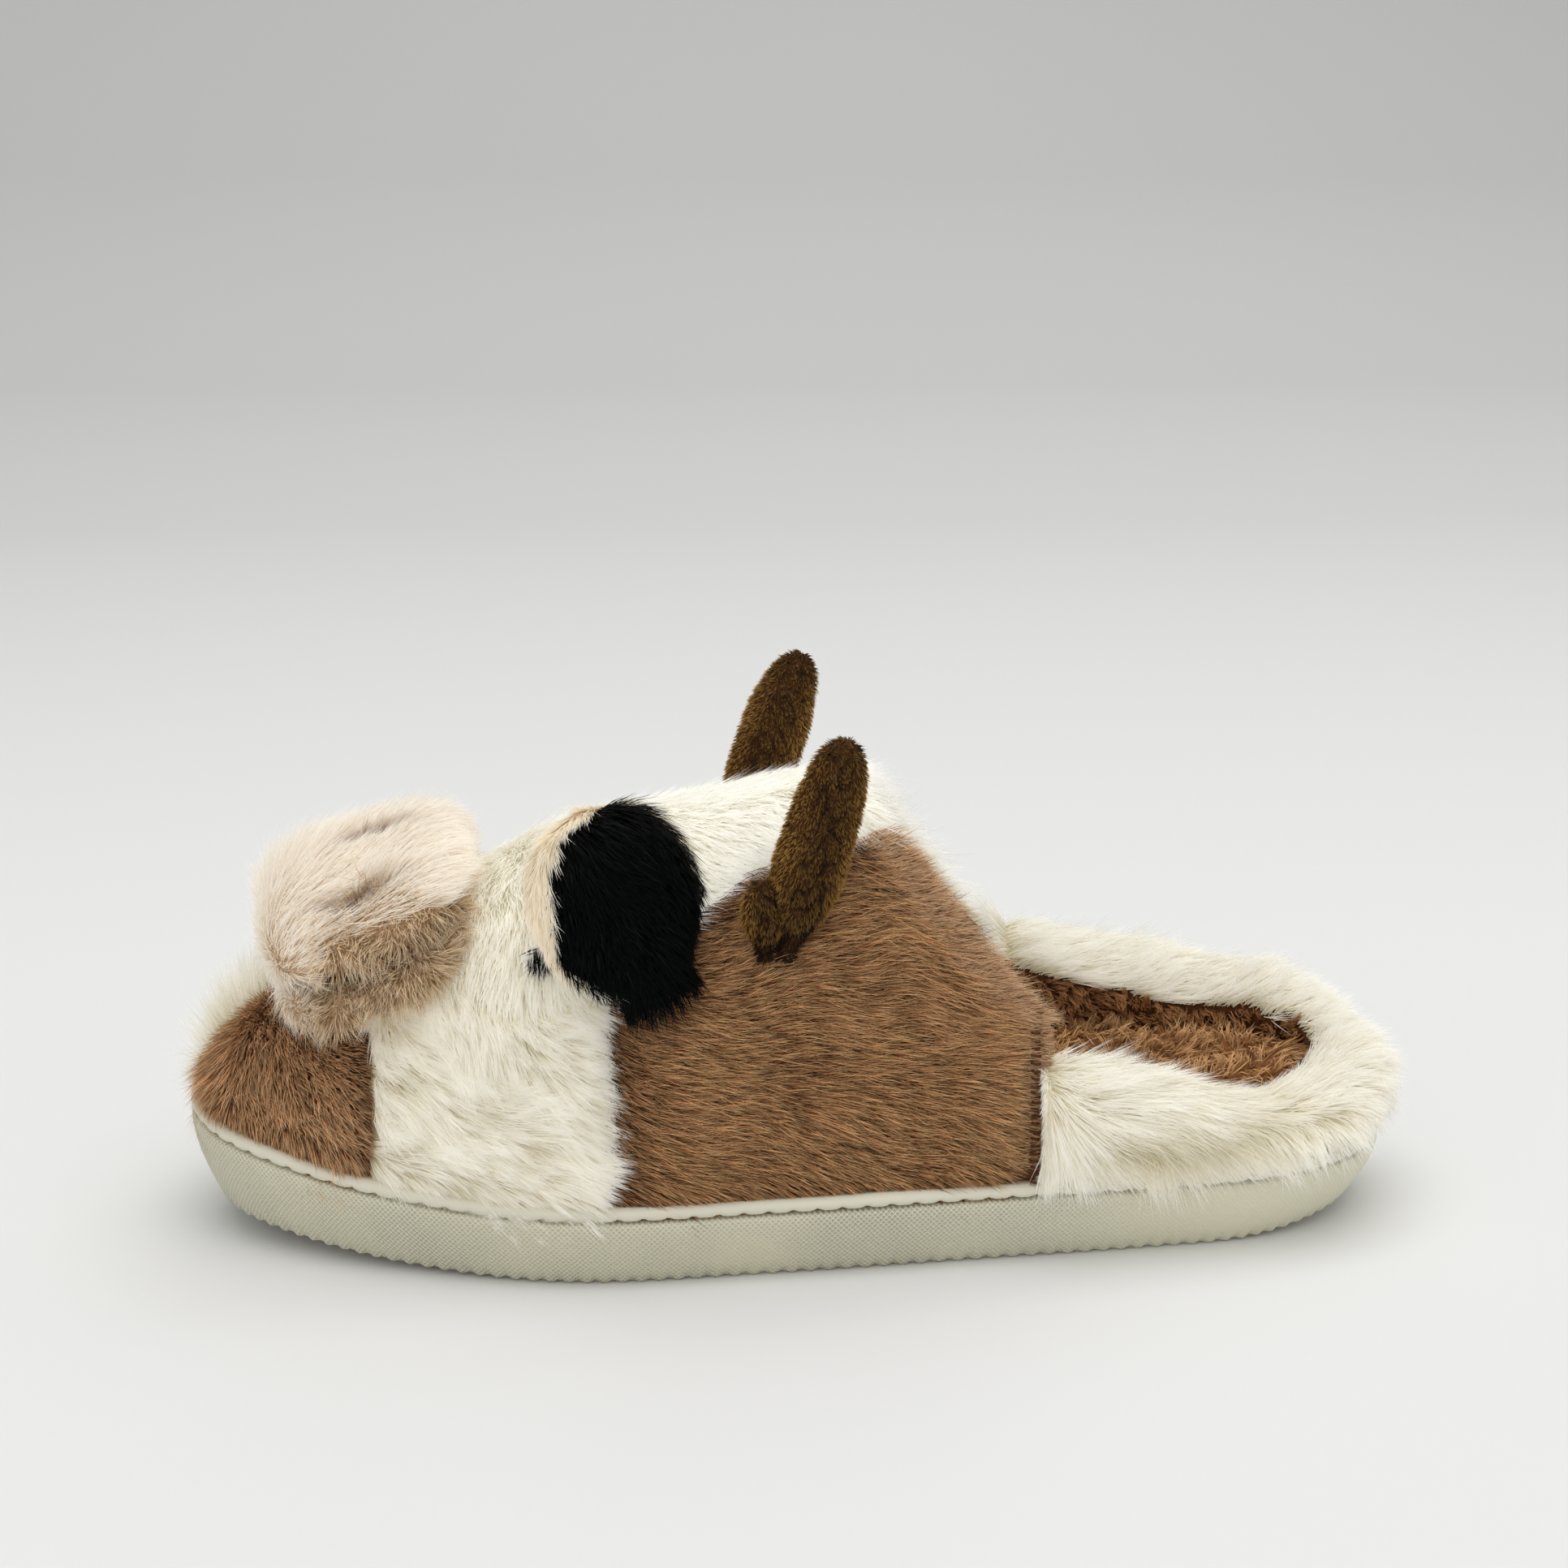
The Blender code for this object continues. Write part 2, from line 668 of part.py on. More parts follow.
def build_muzzle():
    """The stuffed muzzle on top of the toe, with a seam round its edge."""
    bm = bmesh.new()
    middle, _ = place_on_upper(MUZZLE_PLACE_SHARE, math.pi / 2)
    middle = middle + np.array([0.0, 0.0, MUZZLE_RISE])
    along = np.array([math.cos(MUZZLE_TILT), 0.0, math.sin(MUZZLE_TILT)])
    across = np.array([0.0, 1.0, 0.0])
    up = np.array([-math.sin(MUZZLE_TILT), 0.0, math.cos(MUZZLE_TILT)])
    around = 28
    rings = []
    for level in MUZZLE_LEVELS:
        tilt = math.radians(level)
        spread = math.cos(tilt) ** 0.62
        rise = math.copysign(abs(math.sin(tilt)) ** 0.9, math.sin(tilt))
        seam = MUZZLE_SEAM_DEPTH * max(0.0, 1 - abs(tilt) / 0.25)
        points = []
        for k in range(around):
            turn = 2 * math.pi * k / around
            c, s = math.cos(turn), math.sin(turn)
            power = 2 / MUZZLE_FULLNESS
            a = math.copysign(abs(c) ** power, c) * (MUZZLE_LENGTH / 2 - seam) * spread
            b = math.copysign(abs(s) ** power, s) * (MUZZLE_WIDTH / 2 - seam) * spread
            point = middle + along * a + across * b + up * rise * MUZZLE_THICKNESS / 2
            point[2] -= MUZZLE_SAG * (b / (MUZZLE_WIDTH / 2)) ** 2
            points.append(tuple(lift_clear(point, up)))
        rings.append(add_ring(bm, points))
    for lower, upper in zip(rings, rings[1:]):
        bridge_rings(bm, lower, upper)
    for ring, sign in ((rings[0], -1), (rings[-1], 1)):
        point = middle + up * sign * MUZZLE_THICKNESS / 2
        pole = bm.verts.new(tuple(lift_clear(point, up)))
        for k in range(around):
            bm.faces.new((ring[k], ring[(k + 1) % around], pole))
    return add_object("muzzle", bm, BEIGE_FUR)


def limb_frame(place, length, reach):
    """Root, axis, side and back of a limb, shifted outward until it clears the upper."""
    share, angle, lean, back = place
    root, _ = place_on_upper(share, angle)
    axis = unit(lean)
    back = unit(np.array(back) - axis * np.dot(back, axis))
    side = np.cross(axis, back)
    outward = np.array([0.0, -1.0 if angle < math.pi / 2 else 1.0, 0.0])
    steps = [root + axis * length * along + side * wide + back * thick
             for along in (0.12, 0.25, 0.4, 0.6, 0.8, 1.0)
             for wide in (-reach[0], 0.0, reach[0]) for thick in (-reach[1], 0.0, reach[1])]
    shift = max(float(np.dot(lift_clear(p, outward) - p, outward)) for p in steps)
    return root + outward * shift, axis, side, back


def limb(name, place, sizes, table, colour, arc, offset=0.0, around=14):
    """A stuffed limb that grows out of the upper: full round, or one layer of an ear.

    The arc gives the start and end angle of its section, where 0 to pi is the back."""
    length, width, thickness, root_length = sizes
    root, axis, side, back = limb_frame(place, length, (width * 0.5, thickness))
    bm = bmesh.new()
    rings = []
    first, last = arc
    whole = last - first > 2 * math.pi - 0.01
    for along, wide, thick in table:
        points = []
        for k in range(around):
            turn = first + (last - first) * k / (around if whole else around - 1)
            foot = (root + side * math.cos(turn) * width / 2 * wide
                    + back * (math.sin(turn) * thickness * thick + offset))
            if along == 0:
                foot = lift_clear(foot - axis * root_length, axis)
            points.append(tuple(foot + axis * length * along))
        rings.append(add_ring(bm, points))
    for lower, upper in zip(rings, rings[1:]):
        bridge_rings(bm, lower, upper)
    bm.faces.new(rings[0][::-1])
    bm.faces.new(rings[-1])
    return add_object(name, bm, colour)


def build_ears():
    """Two ears, each a black back and a beige front sewn together."""
    sizes = (EAR_LENGTH, EAR_WIDTH, EAR_LAYER_THICKNESS, EAR_ROOT_LENGTH)
    for side, place in EAR_PLACES.items():
        gap = CLEARANCE / 2
        limb(f"ear_back_{side}", place, sizes, EAR_SECTIONS, BLACK_FUR, (0, math.pi), gap)
        limb(f"ear_front_{side}", place, sizes, EAR_SECTIONS, BEIGE_FUR,
             (math.pi, 2 * math.pi), -gap)


def build_horns():
    """Two stuffed horns sewn in the upper's seams."""
    sizes = (HORN_LENGTH, HORN_WIDTH, HORN_THICKNESS / 2, HORN_ROOT_LENGTH)
    for side, place in HORN_PLACES.items():
        limb(f"horn_{side}", place, sizes, HORN_SECTIONS, HORN_BROWN, (0, 2 * math.pi))


def build_eyes():
    """Two small embroidered eyes that lie on the upper."""
    around = 12
    for side, (share, angle) in EYE_PLACES.items():
        bm = bmesh.new()
        middle, normal = place_on_upper(share, angle)
        along = unit(np.cross(normal, (0, 0, 1)))
        up = np.cross(along, normal)
        rings = []
        for rise, spread in ((CLEARANCE, 1.0), (EYE_THICKNESS, 0.92)):
            points = []
            for k in range(around):
                turn = 2 * math.pi * k / around
                flat = (along * math.cos(turn) + up * math.sin(turn)) * EYE_DIAMETER / 2 * spread
                point = lift_clear(middle + flat - normal * 0.001, normal, 0.0)
                points.append(tuple(lift_clear(point, normal, CLEARANCE) + normal * rise))
            rings.append(add_ring(bm, points))
        bridge_rings(bm, rings[0], rings[1])
        for ring, rise in ((rings[0], CLEARANCE), (rings[1], EYE_THICKNESS * 1.2)):
            pole = bm.verts.new(tuple(middle + normal * (rise + CLEARANCE)))
            for k in range(around):
                bm.faces.new((ring[k], ring[(k + 1) % around], pole))
        add_object(f"eye_{side}", bm, BLACK_FUR)


def main():
    """Builds the slipper."""
    clear_scene()
    build_sole()
    build_welt()
    build_upper()
    build_collar()
    build_insole()
    build_muzzle()
    build_ears()
    build_horns()
    build_eyes()


main()
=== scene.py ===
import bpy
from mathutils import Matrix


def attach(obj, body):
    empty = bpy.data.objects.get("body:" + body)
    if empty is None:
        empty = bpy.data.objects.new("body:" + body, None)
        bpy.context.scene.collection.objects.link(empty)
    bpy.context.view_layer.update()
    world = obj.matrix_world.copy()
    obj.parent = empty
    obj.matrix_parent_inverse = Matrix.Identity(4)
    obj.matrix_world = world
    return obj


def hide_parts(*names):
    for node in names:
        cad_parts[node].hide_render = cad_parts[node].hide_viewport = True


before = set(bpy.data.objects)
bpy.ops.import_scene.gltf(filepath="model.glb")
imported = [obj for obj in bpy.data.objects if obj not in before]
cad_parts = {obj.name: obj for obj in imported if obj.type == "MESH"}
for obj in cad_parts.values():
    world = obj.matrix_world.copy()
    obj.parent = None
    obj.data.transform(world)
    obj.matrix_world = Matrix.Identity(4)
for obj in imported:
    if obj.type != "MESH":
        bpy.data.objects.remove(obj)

"""Plush slide slipper with a cow's face, built as fur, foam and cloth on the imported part.

Lengths are metres. The toe points to -X, the wearer's outer side to -Y and +Z is up.
"""

import logging
import math
from dataclasses import dataclass, field
from enum import Enum
from functools import lru_cache
from typing import Callable, Optional, Sequence

import bpy
import numpy as np
from mathutils import kdtree

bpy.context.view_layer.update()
BODY = "root"
LOG = logging.getLogger("slipper")

Vec = np.ndarray
Rgb = tuple[float, float, float]


class Panel(Enum):
    """A cut piece of fur fabric on the upper, or the upper part of one that wears a lighter copy
    of its fur as painted light.
    """

    TOE_BROWN = "toe_brown"
    SIDE_BROWN = "side_brown"
    MIDDLE_WHITE = "middle_white"
    TOP_WHITE = "top_white"
    FAR_WHITE = "far_white"
    TOE_WHITE = "toe_white"
    # Upper part of the middle panel, split off to wear a lighter copy of the white fur: painted
    # light.
    UPPER_WHITE = "upper_white"


def srgb(red: float, green: float, blue: float) -> Rgb:
    """A screen colour as linear light.

    Args:
        red: red from 0 to 255.
        green: green from 0 to 255.
        blue: blue from 0 to 255.

    Returns:
        The three linear values from 0 to 1.
    """
    def linear(value: float) -> float:
        """One channel as linear light."""
        share = value / 255.0
        return share / 12.92 if share <= 0.04045 else ((share + 0.055) / 1.055) ** 2.4

    return linear(red), linear(green), linear(blue)


def unit(vectors: Vec) -> Vec:
    """Vectors of length one along the last axis."""
    return vectors / np.maximum(np.linalg.norm(vectors, axis=-1, keepdims=True), 1e-12)


def smooth_table(at: Vec, xs: Sequence[float], ys: Sequence[float]) -> Vec:
    """Reads a table along a curve with no overshoot between its rows.

    Args:
        at: places to read.
        xs: rising places of the rows.
        ys: values of the rows.

    Returns:
        The value at each place.
    """
    x, y = np.asarray(xs, float), np.asarray(ys, float)
    steps, slopes = np.diff(x), np.diff(y) / np.diff(x)
    tangents = np.zeros(len(x))
    tangents[0], tangents[-1] = slopes[0], slopes[-1]
    same = slopes[:-1] * slopes[1:] > 0
    inner = np.zeros(len(x) - 2)
    inner[same] = 2 / (1 / slopes[:-1][same] + 1 / slopes[1:][same])
    tangents[1:-1] = inner
    k = np.clip(np.searchsorted(x, at) - 1, 0, len(steps) - 1)
    t = np.clip((at - x[k]) / steps[k], 0, 1)
    rise = y[k + 1] - y[k]
    bend = t * (1 - t) * ((1 - t) * (tangents[k] * steps[k] - rise)
                          - t * (tangents[k + 1] * steps[k] - rise))
    return y[k] + t * rise + bend


def wavy(points: Vec, size: float, seed: int, waves: int = 9) -> Vec:
    """A smooth random field of about -1 to 1.

    Args:
        points: places to read.
        size: usual size of a bump.
        seed: number of the field.
        waves: number of sine waves that are added up.

    Returns:
        The field's value at each place.
    """
    rng = np.random.default_rng(seed)
    total = np.zeros(points.shape[:-1])
    for _ in range(waves):
        axis = unit(rng.normal(size=3)) * 2 * math.pi / (size * rng.uniform(1.4, 3.0))
        total += np.sin(points @ axis + rng.uniform(0, 2 * math.pi))
    return total / math.sqrt(waves)


@dataclass(frozen=True)
class Last:
    """The form the slipper is built on: outline, rim, upper and collar.

    Every other class asks it for places, so that the pieces fit one another.
    """

    length: float = 0.265
    ball_half_width: float = 0.050
    side_height: float = 0.0151
    flare: float = 0.0055
    toe_tread_lift: float = 0.0078
    toe_rim_lift: float = 0.0108
    toe_lift_share: float = 0.34
    heel_tread_lift: float = 0.0065
    heel_rim_lift: float = 0.0012
    heel_lift_share: float = 0.18
    upper_inset: float = 0.0039
    wall: float = 0.0045
    instep: float = 0.0820
    throat_x: float = 0.0130
    upper_end_x: float = 0.0498
    side_share: float = 0.40
    fullness: float = 2.35
    outline: tuple[tuple[float, float], ...] = (
        (0.000, 0.08), (0.022, -0.30), (0.080, -0.57), (0.180, -0.82), (0.320, -1.00),
        (0.480, -0.95), (0.640, -0.86), (0.780, -0.78), (0.890, -0.68), (0.968, -0.42),
        (1.000, 0.00), (0.968, 0.42), (0.890, 0.67), (0.780, 0.75), (0.640, 0.75),
        (0.480, 0.82), (0.320, 0.93), (0.180, 0.91), (0.080, 0.74), (0.022, 0.44),
    )
    top_line: tuple[tuple[float, float], ...] = (
        (0.000, 0.00), (0.008, 0.12), (0.060, 0.25), (0.102, 0.31), (0.200, 0.43),
        (0.272, 0.525), (0.440, 0.75), (0.570, 0.865), (0.760, 0.95), (0.950, 1.00),
        (1.000, 1.00),
    )

    def loop(self, count: int) -> tuple[Vec, Vec, Vec]:
        """The rim's outline in plan.

        Args:
            count: number of even points.

        Returns:
            Points, outward normals, and the run along the outline to each point.
        """
        rows = np.array([((a - 0.5) * self.length, b * self.ball_half_width)
                         for a, b in self.outline])
        before, after, beyond = (np.roll(rows, s, 0) for s in (1, -1, -2))
        dense = np.stack([0.5 * (2 * rows + (after - before) * t
                                 + (2 * before - 5 * rows + 4 * after - beyond) * t ** 2
                                 + (3 * rows - before - 3 * after + beyond) * t ** 3)
                          for t in np.linspace(0, 1, 24, endpoint=False)], 1).reshape(-1, 2)
        ring = np.vstack([dense, dense[:1]])
        run = np.concatenate([[0], np.cumsum(np.linalg.norm(np.diff(ring, axis=0), axis=1))])
        at = np.linspace(0, run[-1], count, endpoint=False)
        points = np.stack([np.interp(at, run, ring[:, 0]), np.interp(at, run, ring[:, 1])], 1)
        along = np.roll(points, -1, 0) - np.roll(points, 1, 0)
        normals = unit(np.stack([along[:, 1], -along[:, 0]], 1))
        return points, normals, at

    def lift(self, x: Vec, toe: float, heel: float) -> Vec:
        """How far a level line curls up at its ends.

        Args:
            x: places along the shoe.
            toe: lift at the tip of the toe.
            heel: lift at the end of the heel.

        Returns:
            The lift at each place.
        """
        share = x / self.length + 0.5
        front = np.maximum(0, (self.toe_lift_share - share) / self.toe_lift_share)
        back = np.maximum(0, (share - 1 + self.heel_lift_share) / self.heel_lift_share)
        return toe * front ** 2 + heel * back ** 2

    def tread(self, x: Vec) -> Vec:
        """Height of the sole's underside."""
        return self.lift(x, self.toe_tread_lift, self.heel_tread_lift)

    def rim(self, x: Vec) -> Vec:
        """Height of the sole's top face."""
        return self.side_height + self.lift(x, self.toe_rim_lift, self.heel_rim_lift)

    @lru_cache(maxsize=8)
    def halves(self, inset: float) -> tuple[Vec, Vec]:
        """The outline moved in and cut at toe and heel.

        Args:
            inset: distance that it is moved in.

        Returns:
            The outer and the inner half, both from the toe to the heel.
        """
        points, normals, _ = self.loop(720)
        moved = points - normals * inset
        moved = np.roll(moved, -int(moved[:, 0].argmin()), 0)
        heel = int(moved[:, 0].argmax())
        return moved[:heel + 1], np.vstack([moved[:1], moved[heel:][::-1]])

    def edges(self, x: Vec, inset: float) -> tuple[Vec, Vec]:
        """Outer and inner y of the outline moved in by inset."""
        outer, inner = self.halves(inset)
        return np.interp(x, outer[:, 0], outer[:, 1]), np.interp(x, inner[:, 0], inner[:, 1])

    def front(self, inset: float) -> float:
        """Foremost x of the outline moved in by inset."""
        return float(self.halves(inset)[0][0, 0])

    def rise(self, x: Vec, wall: float) -> Vec:
        """Height of the upper's top line over the rim.

        Args:
            x: places along the shoe.
            wall: depth under the outer face.

        Returns:
            The height at each place.
        """
        start = self.front(self.upper_inset)
        share = (x - start - wall) / (self.throat_x - start - wall)
        xs, ys = zip(*self.top_line)
        return (smooth_table(np.clip(share, 0, 1), xs, ys) * self.instep
                - wall * np.clip(share * 8, 0, 1))

    def section(self, x: Vec, angle: Vec, wall: float) -> Vec:
        """Points of the upper.

        Args:
            x: places along the shoe.
            angle: places round the section, from 0 at the outer rim to pi at the inner rim.
            wall: depth under the outer face.

        Returns:
            The points in the row frame.
        """
        outer, inner = self.edges(x, self.upper_inset + wall)
        middle, half = (outer + inner) / 2, (inner - outer) / 2
        power = 2 / self.fullness
        turn = np.cos(angle)
        y = middle - half * np.sign(turn) * np.abs(turn) ** power
        up = np.maximum(self.rise(x, wall), 0) * np.maximum(np.sin(angle), 0) ** power
        return np.stack([x, y, self.rim(x) + 0.0003 + up], -1)

    def throat(self, angle: Vec) -> Vec:
        """Where the upper ends for each angle round its section."""
        share = np.clip((np.sin(angle) - self.side_share) / (1 - self.side_share), 0, 1) ** 0.8
        return self.upper_end_x + (self.throat_x - self.upper_end_x) * share


LAST = Last()


@dataclass
class Grid:
    """A skin as rows and columns of points, which knows where fur can be rooted."""

    points: Vec
    closed: bool = False
    flip: bool = False

    def __post_init__(self) -> None:
        """Works out a normal for every point."""
        p = self.points
        down = np.gradient(p, axis=0)
        if self.closed:
            across = np.roll(p, -1, 1) - np.roll(p, 1, 1)
        else:
            across = np.gradient(p, axis=1)
        normal = np.cross(down, across)
        weak = np.linalg.norm(normal, axis=-1) < 1e-12
        if weak.any():
            normal[weak] = np.mean(normal[~weak], axis=0)
        self.normals = unit(normal) * (-1 if self.flip else 1)

    def displaced(self, amount: Vec) -> "Grid":
        """The same skin moved along its normals."""
        return Grid(self.points + self.normals * amount[..., None], self.closed, self.flip)

    def faces(self, start: int = 0) -> list[tuple[int, int, int, int]]:
        """Corner numbers of every cell, wound so that its face looks outwards.

        Args:
            start: number of the skin's first vertex.

        Returns:
            One quad for each cell.
        """
        rows, cols = self.points.shape[:2]
        found = []
        for i in range(rows - 1):
            for j in range(cols if self.closed else cols - 1):
                k = (j + 1) % cols
                quad = (i * cols + j, (i + 1) * cols + j, (i + 1) * cols + k, i * cols + k)
                found.append(tuple(start + q for q in (quad[::-1] if self.flip else quad)))
        return found

    def roots(self, count: int, rng: np.random.Generator,
              keep: Optional[Callable[[Vec, Vec], Vec]] = None) -> tuple[Vec, Vec]:
        """Scatters fur roots evenly over the skin.

        Args:
            count: number of roots wanted.
            rng: source of the scatter.
            keep: gives each candidate a chance of staying from its place and normal.

        Returns:
            Places and normals of the roots.
        """
        p = np.concatenate([self.points, self.points[:, :1]], 1) if self.closed else self.points
        n = np.concatenate([self.normals, self.normals[:, :1]], 1) if self.closed else self.normals
        a, b, c, d = p[:-1, :-1], p[1:, :-1], p[1:, 1:], p[:-1, 1:]
        area = (np.linalg.norm(np.cross(b - a, c - a), axis=-1)
                + np.linalg.norm(np.cross(c - a, d - a), axis=-1)).ravel()
        centre = (a + b + c + d).reshape(-1, 3) / 4
        facing = (n[:-1, :-1] + n[1:, 1:]).reshape(-1, 3) / 2
        if keep is not None:
            area = area * (keep(centre, facing) > 0)
        cell = rng.choice(len(area), size=count, p=area / area.sum())
        i, j = np.divmod(cell, p.shape[1] - 1)
        u, v = rng.random(count)[:, None], rng.random(count)[:, None]

        def blend(field: Vec) -> Vec:
            """The field between its four corners."""
            return (field[i, j] * (1 - u) * (1 - v) + field[i + 1, j] * u * (1 - v)
                    + field[i + 1, j + 1] * u * v + field[i, j + 1] * (1 - u) * v)

        place, normal = blend(p), unit(blend(n))
        if keep is not None:
            stay = rng.random(count) < keep(place, normal)
            place, normal = place[stay], normal[stay]
        return place, normal


def add_mesh(name: str, points: Vec, faces: Sequence, materials: Sequence[bpy.types.Material],
             slots: Optional[Sequence[int]] = None) -> bpy.types.Object:
    """Makes a smooth-shaded object at the origin from arrays.

    Args:
        name: name of the piece.
        points: places in the row frame.
        faces: corner numbers of each face.
        materials: the piece's material slots.
        slots: slot number of each face.

    Returns:
        The new object.
    """
    mesh = bpy.data.meshes.new(name)
    mesh.from_pydata(np.asarray(points).reshape(-1, 3).tolist(), [],
                     faces if isinstance(faces, list) else faces.tolist())
    for material in materials:
        mesh.materials.append(material)
    if slots is not None:
        mesh.polygons.foreach_set("material_index", np.asarray(slots, np.int32))
    mesh.polygons.foreach_set("use_smooth", np.ones(len(mesh.polygons), bool))
    mesh.update()
    made = bpy.data.objects.new(name, mesh)
    bpy.context.scene.collection.objects.link(made)
    return made


def report(piece: bpy.types.Object) -> None:
    """Fixes a finished piece to the part's body and logs it.

    Args:
        piece: the finished object.
    """
    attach(piece, BODY)
    piece.data.calc_loop_triangles()
    LOG.info("%s: %d triangles", piece.name, len(piece.data.loop_triangles))


@dataclass(frozen=True)
class FurStyle:
    """How a fur grows: lengths in metres, angles in degrees off the skin."""

    length: float = 0.008
    width: float = 0.00034
    root_lift: float = 55.0
    tip_lift: float = 18.0
    spread: float = 14.0
    clump_size: float = 0.0018
    clump: float = 0.35
    uneven: float = 0.25
    curl: float = 0.0
    droop: float = 0.0
    joints: tuple[float, ...] = (0.0, 0.45, 1.0)
    ruffle: float = 0.30
    ruffle_size: float = 0.012


@dataclass
class FurCoat:
    """Grows fur as one joined mesh of tapered blades."""

    style: FurStyle
    seed: int
    comb: Callable[[Vec, Vec], Vec]

    def clumps(self, roots: Vec, tips: Vec, rng: np.random.Generator) -> Vec:
        """Finds the lock that each hair joins.

        Args:
            roots: where the hairs stand.
            tips: where the hairs end.
            rng: source of the choice.

        Returns:
            For each hair, the tip of the hair at the middle of its lock.
        """
        span = roots.max(0) - roots.min(0)
        wanted = max(8, int(np.prod(np.sort(span)[-2:]) / self.style.clump_size ** 2))
        picked = rng.choice(len(roots), size=min(wanted, len(roots) // 3 + 1), replace=False)
        tree = kdtree.KDTree(len(picked))
        for number, chosen in enumerate(picked):
            tree.insert(roots[chosen], number)
        tree.balance()
        nearest = np.array([picked[tree.find(place)[1]] for place in roots])
        return tips[nearest]

    def grow(self, name: str, roots: Vec, normals: Vec, material: bpy.types.Material,
             shade: Optional[Callable[[Vec], Vec]] = None,
             scale: Optional[Callable[[Vec], Vec]] = None,
             hang: Optional[Callable[[Vec], Vec]] = None) -> bpy.types.Object:
        """Builds the blades.

        Args:
            name: name of the piece.
            roots: where the hairs stand.
            normals: the skin's normals there.
            material: the fur's finish.
            shade: painted shade from 0 to 1 by place.
            scale: length factor by place.
            hang: extra droop of the tips by place.

        Returns:
            The fur as an object.
        """
        rng = np.random.default_rng(self.seed)
        s, count = self.style, len(roots)
        sway = np.stack([wavy(roots, s.ruffle_size, self.seed * 7 + k) for k in range(3)], -1)
        comb = unit(self.comb(roots, normals)) + sway * s.ruffle
        flat = unit(comb - normals * (comb * normals).sum(-1, keepdims=True))
        side = np.cross(normals, flat)
        stray = np.radians(rng.normal(0, s.spread, count))[:, None]
        flat = flat * np.cos(stray) + side * np.sin(stray)
        first = np.radians(s.root_lift + rng.normal(0, s.spread * 0.6, count))[:, None]
        last = np.radians(s.tip_lift + rng.normal(0, s.spread * 0.7, count))[:, None]
        start = flat * np.cos(first) + normals * np.sin(first)
        finish = flat * np.cos(last) + normals * np.sin(last)
        finish[:, 2] -= s.droop
        if hang is not None:
            finish[:, 2] -= hang(roots)
        finish = unit(finish)
        length = s.length * np.clip(rng.normal(1 - s.uneven / 2, s.uneven, count), 0.35, 1.35)
        length = length * (1 + 0.18 * wavy(roots, s.ruffle_size * 1.5, self.seed + 91))
        if scale is not None:
            length = length * scale(roots)
        length = length[:, None]
        knee = roots + start * length * 0.42
        tips = knee + finish * length * 0.62
        pulled = self.clumps(roots, tips, rng)
        pull = s.clump * rng.uniform(0.5, 1.2, (count, 1))
        reach = pulled - tips
        reach *= np.minimum(1, 2.5 * s.clump_size / np.maximum(
            np.linalg.norm(reach, axis=-1, keepdims=True), 1e-9))
        tips = tips + reach * pull
        tips += normals * np.maximum(0, -((tips - roots) * normals).sum(-1, keepdims=True))
        knee = knee + reach * pull * 0.35
        return self.blades(name, roots, knee, tips, normals, material, shade, rng)

    def blades(self, name: str, roots: Vec, knee: Vec, tips: Vec, normals: Vec,
               material: bpy.types.Material, shade: Optional[Callable[[Vec], Vec]],
               rng: np.random.Generator) -> bpy.types.Object:
        """Turns each hair's curve into a tapered blade and writes its shading values.

        Args:
            name: name of the piece.
            roots: where the hairs stand.
            knee: where they bend.
            tips: where they end.
            normals: the skin's normals at the roots.
            material: the fur's finish.
            shade: painted shade from 0 to 1 by place.
            rng: source of the hairs' turns and tints.

        Returns:
            The fur as an object.
        """
        s, count = self.style, len(roots)
        axis = unit(tips - roots)
        wide = unit(np.cross(axis, normals) + rng.normal(0, 0.35, (count, 3)))
        wide = unit(wide - axis * (wide * axis).sum(-1, keepdims=True))
        lean = np.cross(axis, wide)
        phase = rng.uniform(0, 2 * math.pi, (count, 1))
        layers, marks = [], []
        for t in s.joints:
            spot = roots * (1 - t) ** 2 + knee * 2 * t * (1 - t) + tips * t * t
            turn = phase + t * 2.4 * math.pi
            spot = spot + (wide * np.cos(turn) + lean * np.sin(turn)) * s.curl * t
            if t >= 1:
                layers.append(spot[:, None])
                marks.append([t])
            else:
                half = wide * s.width * 0.5 * (1 - t ** 2 * 0.75)
                layers.append(np.stack([spot - half, spot + half], 1))
                marks.append([t, t])
        points = np.concatenate(layers, 1)
        per = points.shape[1]
        pattern = []
        for k in range(len(s.joints) - 2):
            a = 2 * k
            pattern += [(a, a + 1, a + 3), (a, a + 3, a + 2)]
        pattern.append((per - 3, per - 2, per - 1))
        faces = (np.arange(count)[:, None, None] * per + np.array(pattern)[None]).reshape(-1, 3)
        piece = add_mesh(name, points, faces, [material])
        values = np.zeros((count, per, 4), np.float32)
        values[..., 0] = np.concatenate(marks)[None]
        values[..., 1] = rng.random(count)[:, None]
        # Channel 2 holds the painted shade from the coat's shade function.
        values[..., 2] = (shade(roots) if shade is not None else np.zeros(count))[:, None]
        values[..., 3] = 1.0
        layer = piece.data.attributes.new("hair", "FLOAT_COLOR", "POINT")
        layer.data.foreach_set("color", values.ravel())
        lie = piece.data.attributes.new("lie", "FLOAT_VECTOR", "POINT")
        soft = unit(normals + np.array([0.0, 0.0, 0.65]))
        lie.data.foreach_set("vector", np.repeat(soft, per, 0).astype(np.float32).ravel())
        return piece


def fill(tree: bpy.types.NodeTree, node: bpy.types.Node, links: dict) -> None:
    """Sets or links a node's own inputs.

    Args:
        tree: the node tree.
        node: the node.
        links: input name or number to a value or an output socket.
    """
    for key, value in links.items():
        if isinstance(value, bpy.types.NodeSocket):
            tree.links.new(value, node.inputs[key])
        else:
            node.inputs[key].default_value = value


